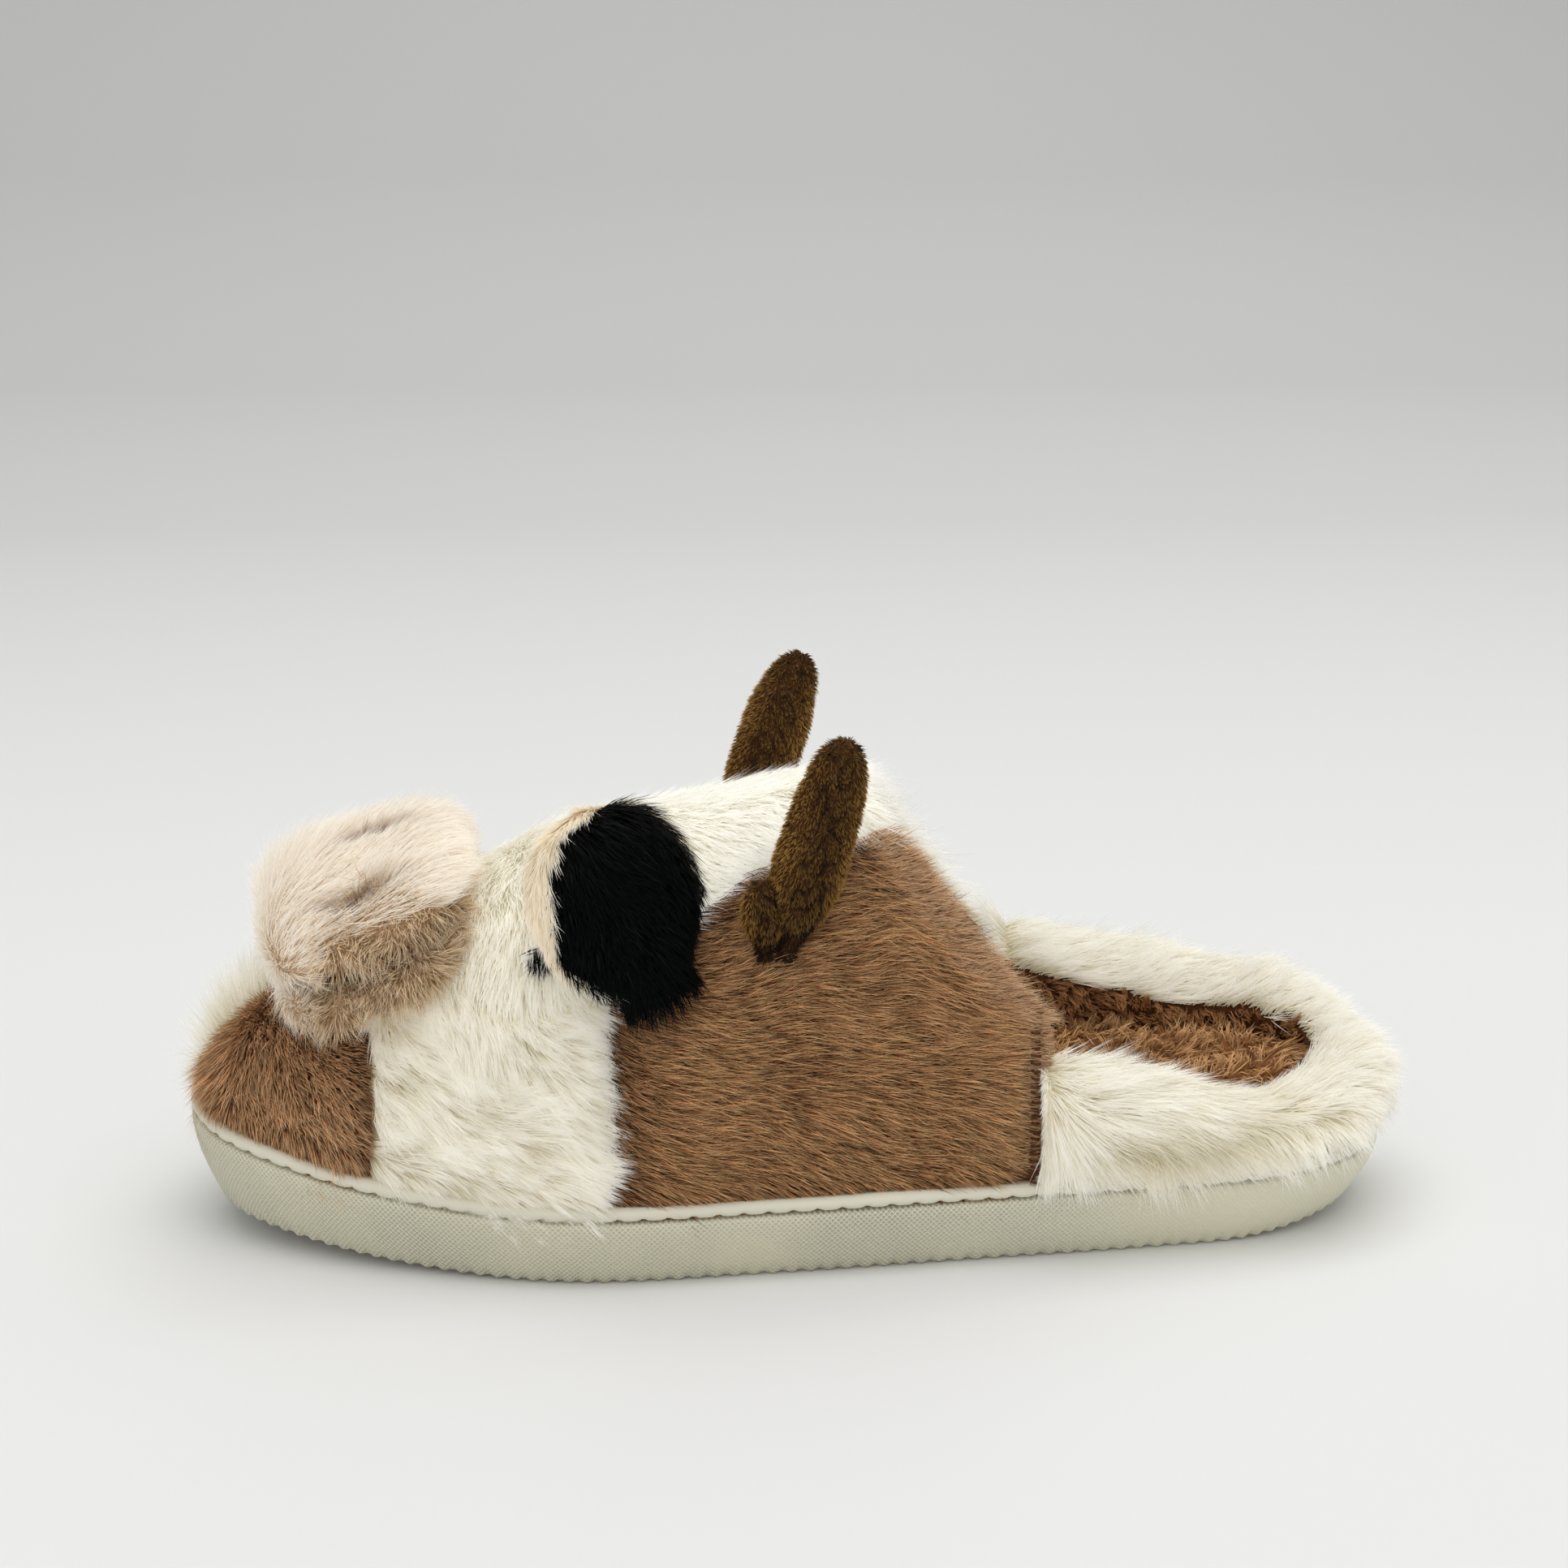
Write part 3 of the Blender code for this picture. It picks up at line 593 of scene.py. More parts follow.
def wire(tree: bpy.types.NodeTree, kind: str, links: Optional[dict] = None,
         **settings: object) -> bpy.types.Node:
    """Adds a node, sets its properties and fills or links its inputs.

    Args:
        tree: the node tree.
        kind: the node's class name.
        links: input name or number to a value or an output socket.
        **settings: properties of the node.

    Returns:
        The new node.
    """
    node = tree.nodes.new(kind)
    for key, value in settings.items():
        setattr(node, key, value)
    fill(tree, node, links or {})
    return node


def colour_value(colour: Rgb) -> tuple[float, float, float, float]:
    """A colour with full alpha."""
    return (*colour, 1.0)


def reckon(tree: bpy.types.NodeTree, operation: str, *values: object,
           clamp: bool = False) -> bpy.types.NodeSocket:
    """Adds a Math node.

    Args:
        tree: the node tree.
        operation: what it works out.
        *values: numbers or output sockets.
        clamp: whether the result is kept from 0 to 1.

    Returns:
        The node's output.
    """
    return wire(tree, "ShaderNodeMath", dict(enumerate(values)), operation=operation,
                use_clamp=clamp).outputs[0]


def ramp(tree: bpy.types.NodeTree, value: object, low: float, high: float,
         bottom: float = 0.0, top: float = 1.0) -> bpy.types.NodeSocket:
    """Adds a Map Range node.

    Args:
        tree: the node tree.
        value: the output socket that is mapped.
        low: value that gives bottom.
        high: value that gives top.
        bottom: result at low.
        top: result at high.

    Returns:
        The node's output.
    """
    return wire(tree, "ShaderNodeMapRange", {0: value, 1: low, 2: high, 3: bottom,
                                             4: top}).outputs[0]


def tinted(tree: bpy.types.NodeTree, share: object, first: object, second: object,
           **settings: object) -> bpy.types.NodeSocket:
    """Adds a Mix node for two colours.

    Args:
        tree: the node tree.
        share: how much of the second colour there is.
        first: first colour.
        second: second colour.
        **settings: properties of the node.

    Returns:
        The node's output.
    """
    return wire(tree, "ShaderNodeMix", {0: share, 6: first, 7: second}, data_type="RGBA",
                **settings).outputs[2]


@lru_cache(maxsize=1)
def hair_tint_group() -> bpy.types.NodeTree:
    """Node group: colour of a hair from its root to its tip, with its own tint and painted shade.

    Returns:
        The group, which is made once.
    """
    tree = bpy.data.node_groups.new("hair_tint", "ShaderNodeTree")
    for name in ("Root", "Body", "Tip", "Shade Tone"):
        tree.interface.new_socket(name=name, in_out="INPUT", socket_type="NodeSocketColor")
    for name in ("Spread", "Patch Size", "Patch"):
        tree.interface.new_socket(name=name, in_out="INPUT", socket_type="NodeSocketFloat")
    tree.interface.new_socket(name="Color", in_out="OUTPUT", socket_type="NodeSocketColor")
    given = tree.nodes.new("NodeGroupInput").outputs
    hair = wire(tree, "ShaderNodeAttribute", attribute_name="hair").outputs["Color"]
    parts = wire(tree, "ShaderNodeSeparateColor", {0: hair}).outputs
    body = tinted(tree, ramp(tree, parts[0], 0.0, 0.5), given["Root"], given["Body"])
    tip = tinted(tree, ramp(tree, parts[0], 0.45, 1.0), body, given["Tip"])
    spot = wire(tree, "ShaderNodeTexCoord").outputs["Object"]
    noise = wire(tree, "ShaderNodeTexNoise", {"Vector": spot, "Scale": given["Patch Size"],
                                              "Detail": 3.0}).outputs[0]
    patch = reckon(tree, "MULTIPLY", reckon(tree, "SUBTRACT", noise, 0.5), given["Patch"])
    own = reckon(tree, "MULTIPLY", reckon(tree, "SUBTRACT", parts[1], 0.5), given["Spread"])
    rising = reckon(tree, "MULTIPLY_ADD", parts[0], -0.45, 1.0)
    # Painted shade: channel 2 of the hair attribute pulls the colour towards the shade colour,
    # less at the tip.
    sunk = tinted(tree, reckon(tree, "MULTIPLY", parts[2], rising), tip, given["Shade Tone"])
    level = reckon(tree, "ADD", reckon(tree, "ADD", own, patch), 1.0)
    grey = wire(tree, "ShaderNodeCombineColor", {0: level, 1: level, 2: level}).outputs[0]
    done = tinted(tree, 1.0, sunk, grey, blend_type="MULTIPLY", clamp_result=True)
    out = tree.nodes.new("NodeGroupOutput")
    tree.links.new(done, out.inputs["Color"])
    return tree


@lru_cache(maxsize=1)
def hair_normal_group() -> bpy.types.NodeTree:
    """Node group: the blade's normal eased towards that of the skin it grows from.

    Returns:
        The group, which is made once.
    """
    tree = bpy.data.node_groups.new("hair_normal", "ShaderNodeTree")
    tree.interface.new_socket(name="Ease", in_out="INPUT", socket_type="NodeSocketFloat")
    tree.interface.new_socket(name="Normal", in_out="OUTPUT", socket_type="NodeSocketVector")
    given = tree.nodes.new("NodeGroupInput").outputs
    skin = wire(tree, "ShaderNodeAttribute", attribute_name="lie").outputs["Vector"]
    blade = wire(tree, "ShaderNodeNewGeometry").outputs["Normal"]
    mixed = wire(tree, "ShaderNodeMix", {0: given["Ease"], 4: blade, 5: skin},
                 data_type="VECTOR").outputs[1]
    even = wire(tree, "ShaderNodeVectorMath", {0: mixed}, operation="NORMALIZE").outputs[0]
    out = tree.nodes.new("NodeGroupOutput")
    tree.links.new(even, out.inputs["Normal"])
    return tree


@dataclass(frozen=True)
class FurFinish:
    """Colour and gloss of a fur, with a painted glow and painted shade."""

    name: str
    root: Rgb
    body: Rgb
    tip: Rgb
    # Colour that the painted shade pulls the hair towards.
    shade_tone: Rgb = (0.05, 0.03, 0.02)
    spread: float = 0.30
    patch: float = 0.25
    patch_size: float = 90.0
    roughness: float = 0.75
    specular: float = 0.25
    sheen: float = 0.15
    # Strength of the painted glow: emission in the hair's own colour that lifts its shade.
    painted_light: float = 0.0
    through: float = 0.35
    ease: float = 0.55

    def material(self) -> bpy.types.Material:
        """Makes the material, with part of the light passing through the thin hairs.

        Returns:
            The new material.
        """
        made = bpy.data.materials.new(self.name)
        made.use_nodes = True
        tree = made.node_tree
        tint = wire(tree, "ShaderNodeGroup", node_tree=hair_tint_group())
        fill(tree, tint, {"Root": colour_value(self.root), "Body": colour_value(self.body),
                          "Tip": colour_value(self.tip), "Shade Tone": colour_value(self.shade_tone),
                          "Spread": self.spread, "Patch": self.patch,
                          "Patch Size": self.patch_size})
        lie = wire(tree, "ShaderNodeGroup", node_tree=hair_normal_group())
        fill(tree, lie, {"Ease": self.ease})
        colour = tint.outputs["Color"]
        shader = tree.nodes["Principled BSDF"]
        # The emission is painted light: the hair glows in its own colour to lift its shade.
        fill(tree, shader, {
            "Base Color": colour, "Normal": lie.outputs["Normal"], "Roughness": self.roughness,
            "Specular IOR Level": self.specular, "Sheen Weight": self.sheen,
            "Sheen Tint": colour_value(self.tip), "Emission Color": colour,
            "Emission Strength": self.painted_light})
        thin = wire(tree, "ShaderNodeBsdfTranslucent", {"Color": colour})
        mixed = wire(tree, "ShaderNodeMixShader", {0: self.through, 1: shader.outputs[0],
                                                   2: thin.outputs[0]})
        tree.links.new(mixed.outputs[0], tree.nodes["Material Output"].inputs[0])
        return made


@dataclass(frozen=True)
class ClothFinish:
    """The backing under a fur: a woven ground with a soft, uneven pile."""

    name: str
    dark: Rgb
    light: Rgb
    scale: float = 900.0
    bump: float = 0.5
    roughness: float = 0.95

    def material(self) -> bpy.types.Material:
        """Makes the backing's material.

        Returns:
            The new material.
        """
        made = bpy.data.materials.new(self.name)
        made.use_nodes = True
        tree = made.node_tree
        spot = wire(tree, "ShaderNodeTexCoord").outputs["Object"]
        pile = wire(tree, "ShaderNodeTexNoise", {"Vector": spot, "Scale": self.scale,
                                                 "Detail": 4.0}).outputs[0]
        shade = tinted(tree, pile, colour_value(self.dark), colour_value(self.light))
        bump = wire(tree, "ShaderNodeBump", {"Strength": self.bump, "Distance": 0.0006,
                                             "Height": pile}).outputs[0]
        fill(tree, tree.nodes["Principled BSDF"], {
            "Base Color": shade, "Normal": bump, "Roughness": self.roughness,
            "Specular IOR Level": 0.1})
        return made


@dataclass(frozen=True)
class FoamFinish:
    """Moulded foam: a faint diamond grain with painted shade in its grooves, soft gloss and
    slightly uneven colour.
    """

    name: str
    colour: Rgb
    mottle_and_groove_shade: Rgb
    grain: float
    pitch: float = 0.0012
    roughness: float = 0.52

    def material(self) -> bpy.types.Material:
        """Makes the foam's material, whose grain follows a UV map in metres.

        Returns:
            The new material.
        """
        made = bpy.data.materials.new(self.name)
        made.use_nodes = True
        tree = made.node_tree
        uv = wire(tree, "ShaderNodeUVMap", uv_map="run").outputs[0]
        parts = wire(tree, "ShaderNodeSeparateXYZ", {0: uv}).outputs
        turn = 2 * math.pi / self.pitch
        waves = []
        for sign in (1.0, -1.0):
            slanted = reckon(tree, "MULTIPLY_ADD", parts[1], sign, parts[0])
            waves.append(reckon(tree, "SINE", reckon(tree, "MULTIPLY", slanted, turn)))
        diamond = reckon(tree, "MAXIMUM", *waves)
        spot = wire(tree, "ShaderNodeTexCoord").outputs["Object"]
        cloud = wire(tree, "ShaderNodeTexNoise", {"Vector": spot, "Scale": 26.0,
                                                  "Detail": 3.0}).outputs[0]
        worn = ramp(tree, cloud, 0.35, 0.65, 0.35, 1.0)
        heel = wire(tree, "ShaderNodeSeparateXYZ", {0: spot}).outputs[0]
        depth = reckon(tree, "MULTIPLY", worn, ramp(tree, heel, 0.02, 0.09, 1.0, 0.15))
        height = reckon(tree, "MULTIPLY", diamond, depth)
        bump = wire(tree, "ShaderNodeBump", {"Strength": self.grain, "Distance": 0.00030,
                                             "Height": height}).outputs[0]
        # Painted shade in the grain's grooves on top of random mottling: low places lean towards
        # the darker colour.
        tone = reckon(tree, "MULTIPLY_ADD", height, 0.45 * self.grain,
                      ramp(tree, cloud, 0.3, 0.75, 0.2, 0.7), clamp=True)
        shade = tinted(tree, tone, colour_value(self.mottle_and_groove_shade), colour_value(self.colour))
        fill(tree, tree.nodes["Principled BSDF"], {
            "Base Color": shade, "Normal": bump, "Roughness": self.roughness,
            "Specular IOR Level": 0.35})
        return made


# Its yellowish root colour is painted shade: the cream shadow deep in the white coat.
WHITE_FUR = FurFinish("white_fur", srgb(224, 216, 186), srgb(245, 242, 232),
                      srgb(253, 252, 248), srgb(205, 194, 148), spread=0.10, patch=0.03,
                      roughness=0.8, sheen=0.0, painted_light=0.16, through=0.5, ease=0.33)
# A lighter copy of the white fur for the upper part of the middle panel: painted light, with a
# stronger painted glow.
UPPER_LIT_FUR = FurFinish("upper_lit_fur", srgb(230, 225, 206), srgb(246, 244, 236),
                      srgb(254, 253, 249), srgb(206, 197, 156), spread=0.08, patch=0.03,
                      roughness=0.8, sheen=0.0, painted_light=0.20, through=0.5, ease=0.32)
# A lighter copy of the white fur for the top strip and the far side: painted light from above,
# with the strongest painted glow.
TOP_LIT_FUR = FurFinish("top_lit_fur", srgb(232, 229, 216), srgb(247, 246, 241),
                       srgb(254, 253, 250), srgb(206, 198, 160), spread=0.08, patch=0.03,
                       roughness=0.8, sheen=0.0, painted_light=0.26, through=0.5, ease=0.3)
BROWN_FUR = FurFinish("brown_fur", srgb(52, 30, 16), srgb(139, 93, 57),
                      srgb(238, 192, 140), srgb(62, 36, 22), spread=1.8, patch=0.25,
                      specular=0.12, sheen=0.05, painted_light=0.03, ease=0.25)
# A lighter copy of the brown fur for the toe patch: painted light.
TOE_LIT_FUR = FurFinish("toe_lit_fur", srgb(92, 60, 36), srgb(190, 142, 98), srgb(242, 208, 164),
                    srgb(84, 52, 34), spread=1.2, patch=0.25, painted_light=0.04, ease=0.3)
EDGE_FUR = FurFinish("edge_fur", srgb(128, 94, 64), srgb(178, 136, 98),
                     srgb(234, 204, 166), spread=0.9, painted_light=0.06, ease=0.25)
BEIGE_FUR = FurFinish("beige_fur", srgb(222, 211, 192), srgb(242, 235, 223),
                      srgb(252, 249, 243), srgb(142, 106, 68), spread=0.12, patch=0.05,
                      painted_light=0.24, through=0.45, ease=0.35)
# A darker copy of the beige fur for the muzzle's wall: painted shade under the top.
WALL_SHADE_FUR = FurFinish("wall_shade_fur", srgb(160, 128, 86), srgb(228, 202, 162), srgb(250, 240, 220),
                    srgb(98, 70, 40), spread=0.5, patch=0.2, painted_light=0.08, through=0.4,
                    ease=0.25)
EAR_FUR = FurFinish("ear_fur", srgb(214, 202, 174), srgb(240, 231, 211),
                    srgb(251, 247, 238), spread=0.10, painted_light=0.22, through=0.5, ease=0.0)
BLACK_FUR = FurFinish("black_fur", srgb(1, 1, 1), srgb(1, 2, 2), srgb(4, 7, 7),
                      spread=0.9, roughness=0.30, specular=0.06, sheen=0.0, through=0.0,
                      ease=0.0)
HORN_PLUSH = FurFinish("horn_plush", srgb(92, 62, 26), srgb(158, 116, 54),
                       srgb(206, 162, 86), srgb(30, 14, 7), spread=0.4, patch=0.4,
                       patch_size=160.0, ease=0.4, sheen=0.4)
CARAMEL_PLUSH = FurFinish("caramel_plush", srgb(134, 92, 54), srgb(200, 152, 102),
                          srgb(228, 184, 132), srgb(92, 52, 24), spread=0.3, patch=0.4,
                          patch_size=180.0, painted_light=0.08)
LINING_PLUSH = FurFinish("lining_plush", srgb(80, 48, 26), srgb(156, 106, 64),
                         srgb(194, 144, 92), srgb(40, 22, 12), spread=0.4, patch=0.5,
                         patch_size=180.0)
WHITE_CLOTH = ClothFinish("white_backing", srgb(206, 200, 172), srgb(238, 234, 218))
BROWN_CLOTH = ClothFinish("brown_backing", srgb(92, 58, 38), srgb(136, 92, 62))
BEIGE_CLOTH = ClothFinish("beige_backing", srgb(176, 140, 104), srgb(220, 190, 158))
BLACK_CLOTH = ClothFinish("black_backing", srgb(4, 5, 5), srgb(12, 14, 14))
HORN_CLOTH = ClothFinish("horn_backing", srgb(56, 32, 18), srgb(92, 60, 30))
CARAMEL_CLOTH = ClothFinish("caramel_backing", srgb(96, 58, 28), srgb(140, 92, 52))
LINING_CLOTH = ClothFinish("lining_backing", srgb(52, 28, 14), srgb(96, 58, 32))
THREAD = ClothFinish("thread", srgb(56, 32, 22), srgb(108, 68, 46), scale=2600.0)
SOLE_FOAM = FoamFinish("sole_foam", srgb(231, 227, 205), srgb(211, 205, 177), grain=1.0)
WELT_FOAM = FoamFinish("welt_foam", srgb(224, 220, 202), srgb(216, 211, 190), grain=0.0)


@lru_cache(maxsize=None)
def material_of(finish: object) -> bpy.types.Material:
    """A finish's material, made once."""
    return finish.material()


def strip(lower: Vec, upper: Vec, closed: bool = True) -> list[tuple[int, ...]]:
    """Quads between two rows of vertices.

    Args:
        lower: vertex numbers of the lower row.
        upper: vertex numbers of the upper row.
        closed: whether the rows run round.

    Returns:
        One quad for each step along the rows.
    """
    count = len(lower) if closed else len(lower) - 1
    return [(int(lower[k]), int(lower[(k + 1) % len(lower)]),
             int(upper[(k + 1) % len(upper)]), int(upper[k])) for k in range(count)]


def caps(skin: Grid) -> list[tuple[int, ...]]:
    """Closes a round skin.

    Args:
        skin: the skin, which runs round in its columns.

    Returns:
        A face over its first row and one over its last row.
    """
    rows, cols = skin.points.shape[:2]
    ends = [tuple(range(cols)), tuple((rows - 1) * cols + k for k in range(cols))[::-1]]
    return [end[::-1] for end in ends] if skin.flip else ends


@dataclass
class SoleUnit:
    """The moulded sole and its welt."""

    around: int = 840
    scallop_pitch: float = 0.0040
    scallop_depth: float = 0.0005
    groove_depth: float = 0.0012
    groove_height: float = 0.0006
    welt_height: float = 0.0029
    welt_thickness: float = 0.0022
    notch_pitch: float = 0.0052
    profile: tuple[tuple[float, float, float], ...] = (
        # height share, inset in flares, share of the scallop
        (0.000, 2.20, 0.0), (0.000, 1.22, 0.0), (0.000, 1.02, 1.0), (0.045, 0.90, 1.0),
        (0.110, 0.80, 0.5), (0.200, 0.66, 0.0), (0.350, 0.44, 0.0), (0.520, 0.23, 0.0),
        (0.700, 0.08, 0.0), (0.850, 0.01, 0.0), (0.930, 0.00, 0.0), (0.965, 0.02, 0.0),
    )

    def side(self) -> tuple[Vec, Vec]:
        """Rings of the sole's side, from the tread up to the groove under the welt.

        Returns:
            The rings' points, and the run along the outline to each column.
        """
        plan, normals, run = LAST.loop(self.around)
        wave = 0.5 + 0.5 * np.cos(run / self.scallop_pitch * 2 * math.pi)
        sill = self.groove_height * 0.4
        rings = []
        for height, inset, cut in self.profile:
            spot = plan - normals * (inset * LAST.flare + cut * self.scallop_depth * wave)[:, None]
            low, high = LAST.tread(spot[:, 0]), LAST.rim(plan[:, 0]) - sill
            z = low + (high - low) * height + cut * self.scallop_depth * wave * 0.9
            rings.append(np.column_stack([spot, z]))
        for inset, drop in ((0.0004, sill), (self.groove_depth, sill),
                            (self.groove_depth, 0.0002), (0.012, 0.0002)):
            rings.append(np.column_stack([plan - normals * inset, LAST.rim(plan[:, 0]) - drop]))
        return np.array(rings), run

    def build(self) -> None:
        """Makes the sole and the welt."""
        rings, run = self.side()
        count = self.around
        faces = []
        for k in range(len(rings) - 1):
            faces += strip(np.arange(count) + k * count, np.arange(count) + (k + 1) * count)
        points = rings.reshape(-1, 3)
        points, faces = self.close(points, faces, 0, LAST.tread, False)
        points, faces = self.close(points, faces, len(rings) - 1, LAST.rim, True)
        sole = add_mesh("sole_unit", points, faces, [material_of(SOLE_FOAM)])
        self.unwrap(sole, run, len(rings))
        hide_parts("sole")
        report(sole)
        self.build_welt()

    def close(self, points: Vec, faces: list, ring: int, height: Callable[[Vec], Vec],
              top: bool) -> tuple[Vec, list]:
        """Closes a ring across the shoe with a fan of strips.

        Args:
            points: the vertices so far.
            faces: the faces so far.
            ring: number of the ring to close.
            height: surface height by x.
            top: whether the closed face looks up.

        Returns:
            The vertices and faces with the closing added.
        """
        count, half = self.around, self.around // 2
        base = ring * count
        outer = [base + k for k in range(1, half)]
        inner = [base + count - k for k in range(1, half)]
        middle = (points[outer] + points[inner]) / 2
        middle[:, 2] = height(middle[:, 0]) - (0.0006 if top else 0.0)
        start = len(points)
        points = np.vstack([points, middle])
        centre = [start + k for k in range(half - 1)]
        new = []
        for k in range(half - 2):
            new.append((outer[k], outer[k + 1], centre[k + 1], centre[k]))
            new.append((centre[k], centre[k + 1], inner[k + 1], inner[k]))
        new += [(base, outer[0], centre[0]), (base, centre[0], inner[0]),
                (outer[-1], base + half, centre[-1]), (centre[-1], base + half, inner[-1])]
        return points, faces + [face if top else face[::-1] for face in new]

    def unwrap(self, piece: bpy.types.Object, run: Vec, rings: int) -> None:
        """Gives the side a UV map of run along the outline and height, in metres.

        Args:
            piece: the sole or the welt.
            run: the run along the outline to each column.
            rings: number of rings on the side.
        """
        mesh = piece.data
        layer = mesh.uv_layers.new(name="run")
        corners = np.zeros(len(mesh.loops), np.int32)
        mesh.loops.foreach_get("vertex_index", corners)
        places = np.zeros(len(mesh.vertices) * 3)
        mesh.vertices.foreach_get("co", places)
        places = places.reshape(-1, 3)
        u = np.where(corners < rings * self.around, run[corners % self.around],
                     places[corners, 0])
        v = np.where(corners < rings * self.around, places[corners, 2], places[corners, 1])
        layer.data.foreach_set("uv", np.stack([u, v], 1).ravel())

    def build_welt(self) -> None:
        """Makes the welt, whose lower edge is drawn in at every stitch."""
        plan, normals, run = LAST.loop(self.around)
        phase = run / self.notch_pitch % 1.0
        notch = np.exp(-((phase - 0.5) / 0.16) ** 2)
        rings = []
        # inset from the rim's outline, height over the rim, share of the notch
        for inset, height, cut in ((0.0008, 0.0003, 0.45), (0.0002, 0.0005, 0.45),
                                   (-0.0001, 0.0012, 0.15), (0.0000, 0.0020, 0.0),
                                   (0.0005, 0.0025, 0.0), (0.0012, self.welt_height, 0.0),
                                   (self.welt_thickness + 0.0014, self.welt_height, 0.0),
                                   (self.welt_thickness + 0.0014, 0.0003, 0.0)):
            spot = plan - normals * (inset + cut * notch * 0.0006)[:, None]
            z = LAST.rim(plan[:, 0]) + height + cut * notch * 0.0009
            rings.append(np.column_stack([spot, z]))
        count = self.around
        faces = []
        for k in range(len(rings)):
            faces += strip(np.arange(count) + k * count,
                           np.arange(count) + (k + 1) % len(rings) * count)
        welt = add_mesh("welt_strip", np.array(rings), faces, [material_of(WELT_FOAM)])
        self.unwrap(welt, run, len(rings))
        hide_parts("welt")
        report(welt)


@dataclass
class UpperShell:
    """The padded upper: skin with seams and puffs, its lining, and a coat per panel."""

    stations: int = 116
    around: int = 84
    toe_seam_x: float = -0.0908
    side_seam_x: float = -0.0425
    toe_split_y: float = 0.0045
    tuft_x: float = -0.106
    far_seam_y: float = 0.026
    upper_lit_z: float = 0.058
    seam_depth: float = 0.0012
    seam_width: float = 0.0022
    stitch_pitch: float = 0.0016
    top_seam: tuple[tuple[float, float], ...] = (
        (-0.046, -0.0405), (-0.0257, -0.0318), (-0.0123, -0.0281), (0.0024, -0.0260),
        (0.0170, -0.0215), (0.0600, -0.0150),
    )
    creases: tuple[tuple[float, float, float, float, float, float], ...] = (
        # x, z, half length, slope, depth, width
        (-0.068, 0.044, 0.016, -0.8, 0.0012, 0.006),
        (-0.010, 0.040, 0.020, 0.25, 0.0010, 0.007),
        (0.018, 0.058, 0.016, -0.5, 0.0012, 0.006),
        (-0.112, 0.034, 0.010, -0.6, 0.0010, 0.005),
    )
    skin: Grid = field(init=False)
    lining: Grid = field(init=False)

    def top_edge(self, x: Vec) -> Vec:
        """y of the seam between the top strip and the brown side."""
        xs, ys = zip(*self.top_seam)
        return np.interp(x, xs, ys)

    def panel(self, p: Vec) -> dict[Panel, Vec]:
        """Which panel each place belongs to.

        Args:
            p: places on the skin.

        Returns:
            A mask for each panel.
        """
        x, y = p[..., 0], p[..., 1]
        toe = (x < self.toe_seam_x) & (y < self.toe_split_y)
        side = (x > self.side_seam_x) & (y < self.top_edge(x))
        tuft = (x < self.tuft_x) & ~toe
        far = (y > self.far_seam_y) & ~toe & ~tuft
        middle = (x <= self.side_seam_x) & ~(toe | far | tuft)
        # Above this wavy height the middle panel wears a lighter copy of the white fur: painted
        # light.
        high = middle & (p[..., 2] + 0.004 * wavy(p, 0.008, 6) > self.upper_lit_z)
        return {Panel.TOE_BROWN: toe, Panel.SIDE_BROWN: side, Panel.FAR_WHITE: far,
                Panel.MIDDLE_WHITE: middle & ~high, Panel.UPPER_WHITE: high,
                Panel.TOE_WHITE: tuft,
                Panel.TOP_WHITE: ~(toe | side | far | middle | tuft)}

    def seam_gap(self, p: Vec) -> Vec:
        """Distance to the nearest seam.

        Args:
            p: places on the skin.

        Returns:
            The distance from each place.
        """
        x, y = p[..., 0], p[..., 1]
        near = y < self.top_edge(x) + 0.002
        toe = np.abs(x - self.toe_seam_x)
        side = np.where(near, np.abs(x - self.side_seam_x), 1.0)
        top = np.where(x > self.side_seam_x, np.abs(y - self.top_edge(x)), 1.0)
        split = np.where(x < self.toe_seam_x, np.abs(y - self.toe_split_y), 1.0)
        return np.minimum(np.minimum(toe, side), np.minimum(top, split))

    def relief(self, p: Vec) -> Vec:
        """Troughs at the seams, creases, a swell over the welt and unevenness.

        Args:
            p: places on the skin.

        Returns:
            How far each place moves outwards.
        """
        amount = -self.seam_depth * np.exp(-(self.seam_gap(p) / self.seam_width) ** 2)
        for x, z, reach, slope, depth, width in self.creases:
            run = np.array([1.0, slope]) / math.hypot(1.0, slope)
            dx, dz = p[..., 0] - x, p[..., 2] - z
            along, off = dx * run[0] + dz * run[1], -dx * run[1] + dz * run[0]
            amount -= np.where(p[..., 1] < 0, depth, 0.0) * np.exp(
                -(along / reach) ** 2 - (off / width) ** 2)
        low = p[..., 2] - LAST.rim(p[..., 0]) - 0.0075
        amount += 0.0016 * np.exp(-(low / 0.0036) ** 2)
        return amount + 0.0007 * wavy(p, 0.022, 5)

    def grid(self, wall: float, rows: int, cols: int) -> Grid:
        """Points of the shell's outer face, or of its lining.

        Args:
            wall: depth under the outer face.
            rows: number of rows from the toe to the throat.
            cols: number of columns round the section.

        Returns:
            The face as a grid.
        """
        share = np.linspace(0, 1, rows)[:, None] ** 1.5
        angle = np.linspace(0, math.pi, cols)[None] * np.ones((rows, 1))
        front = LAST.front(LAST.upper_inset + wall) + 1e-5
        x = front + share * (LAST.throat(angle) - front)
        return Grid(LAST.section(x, angle, wall), flip=wall > 0)

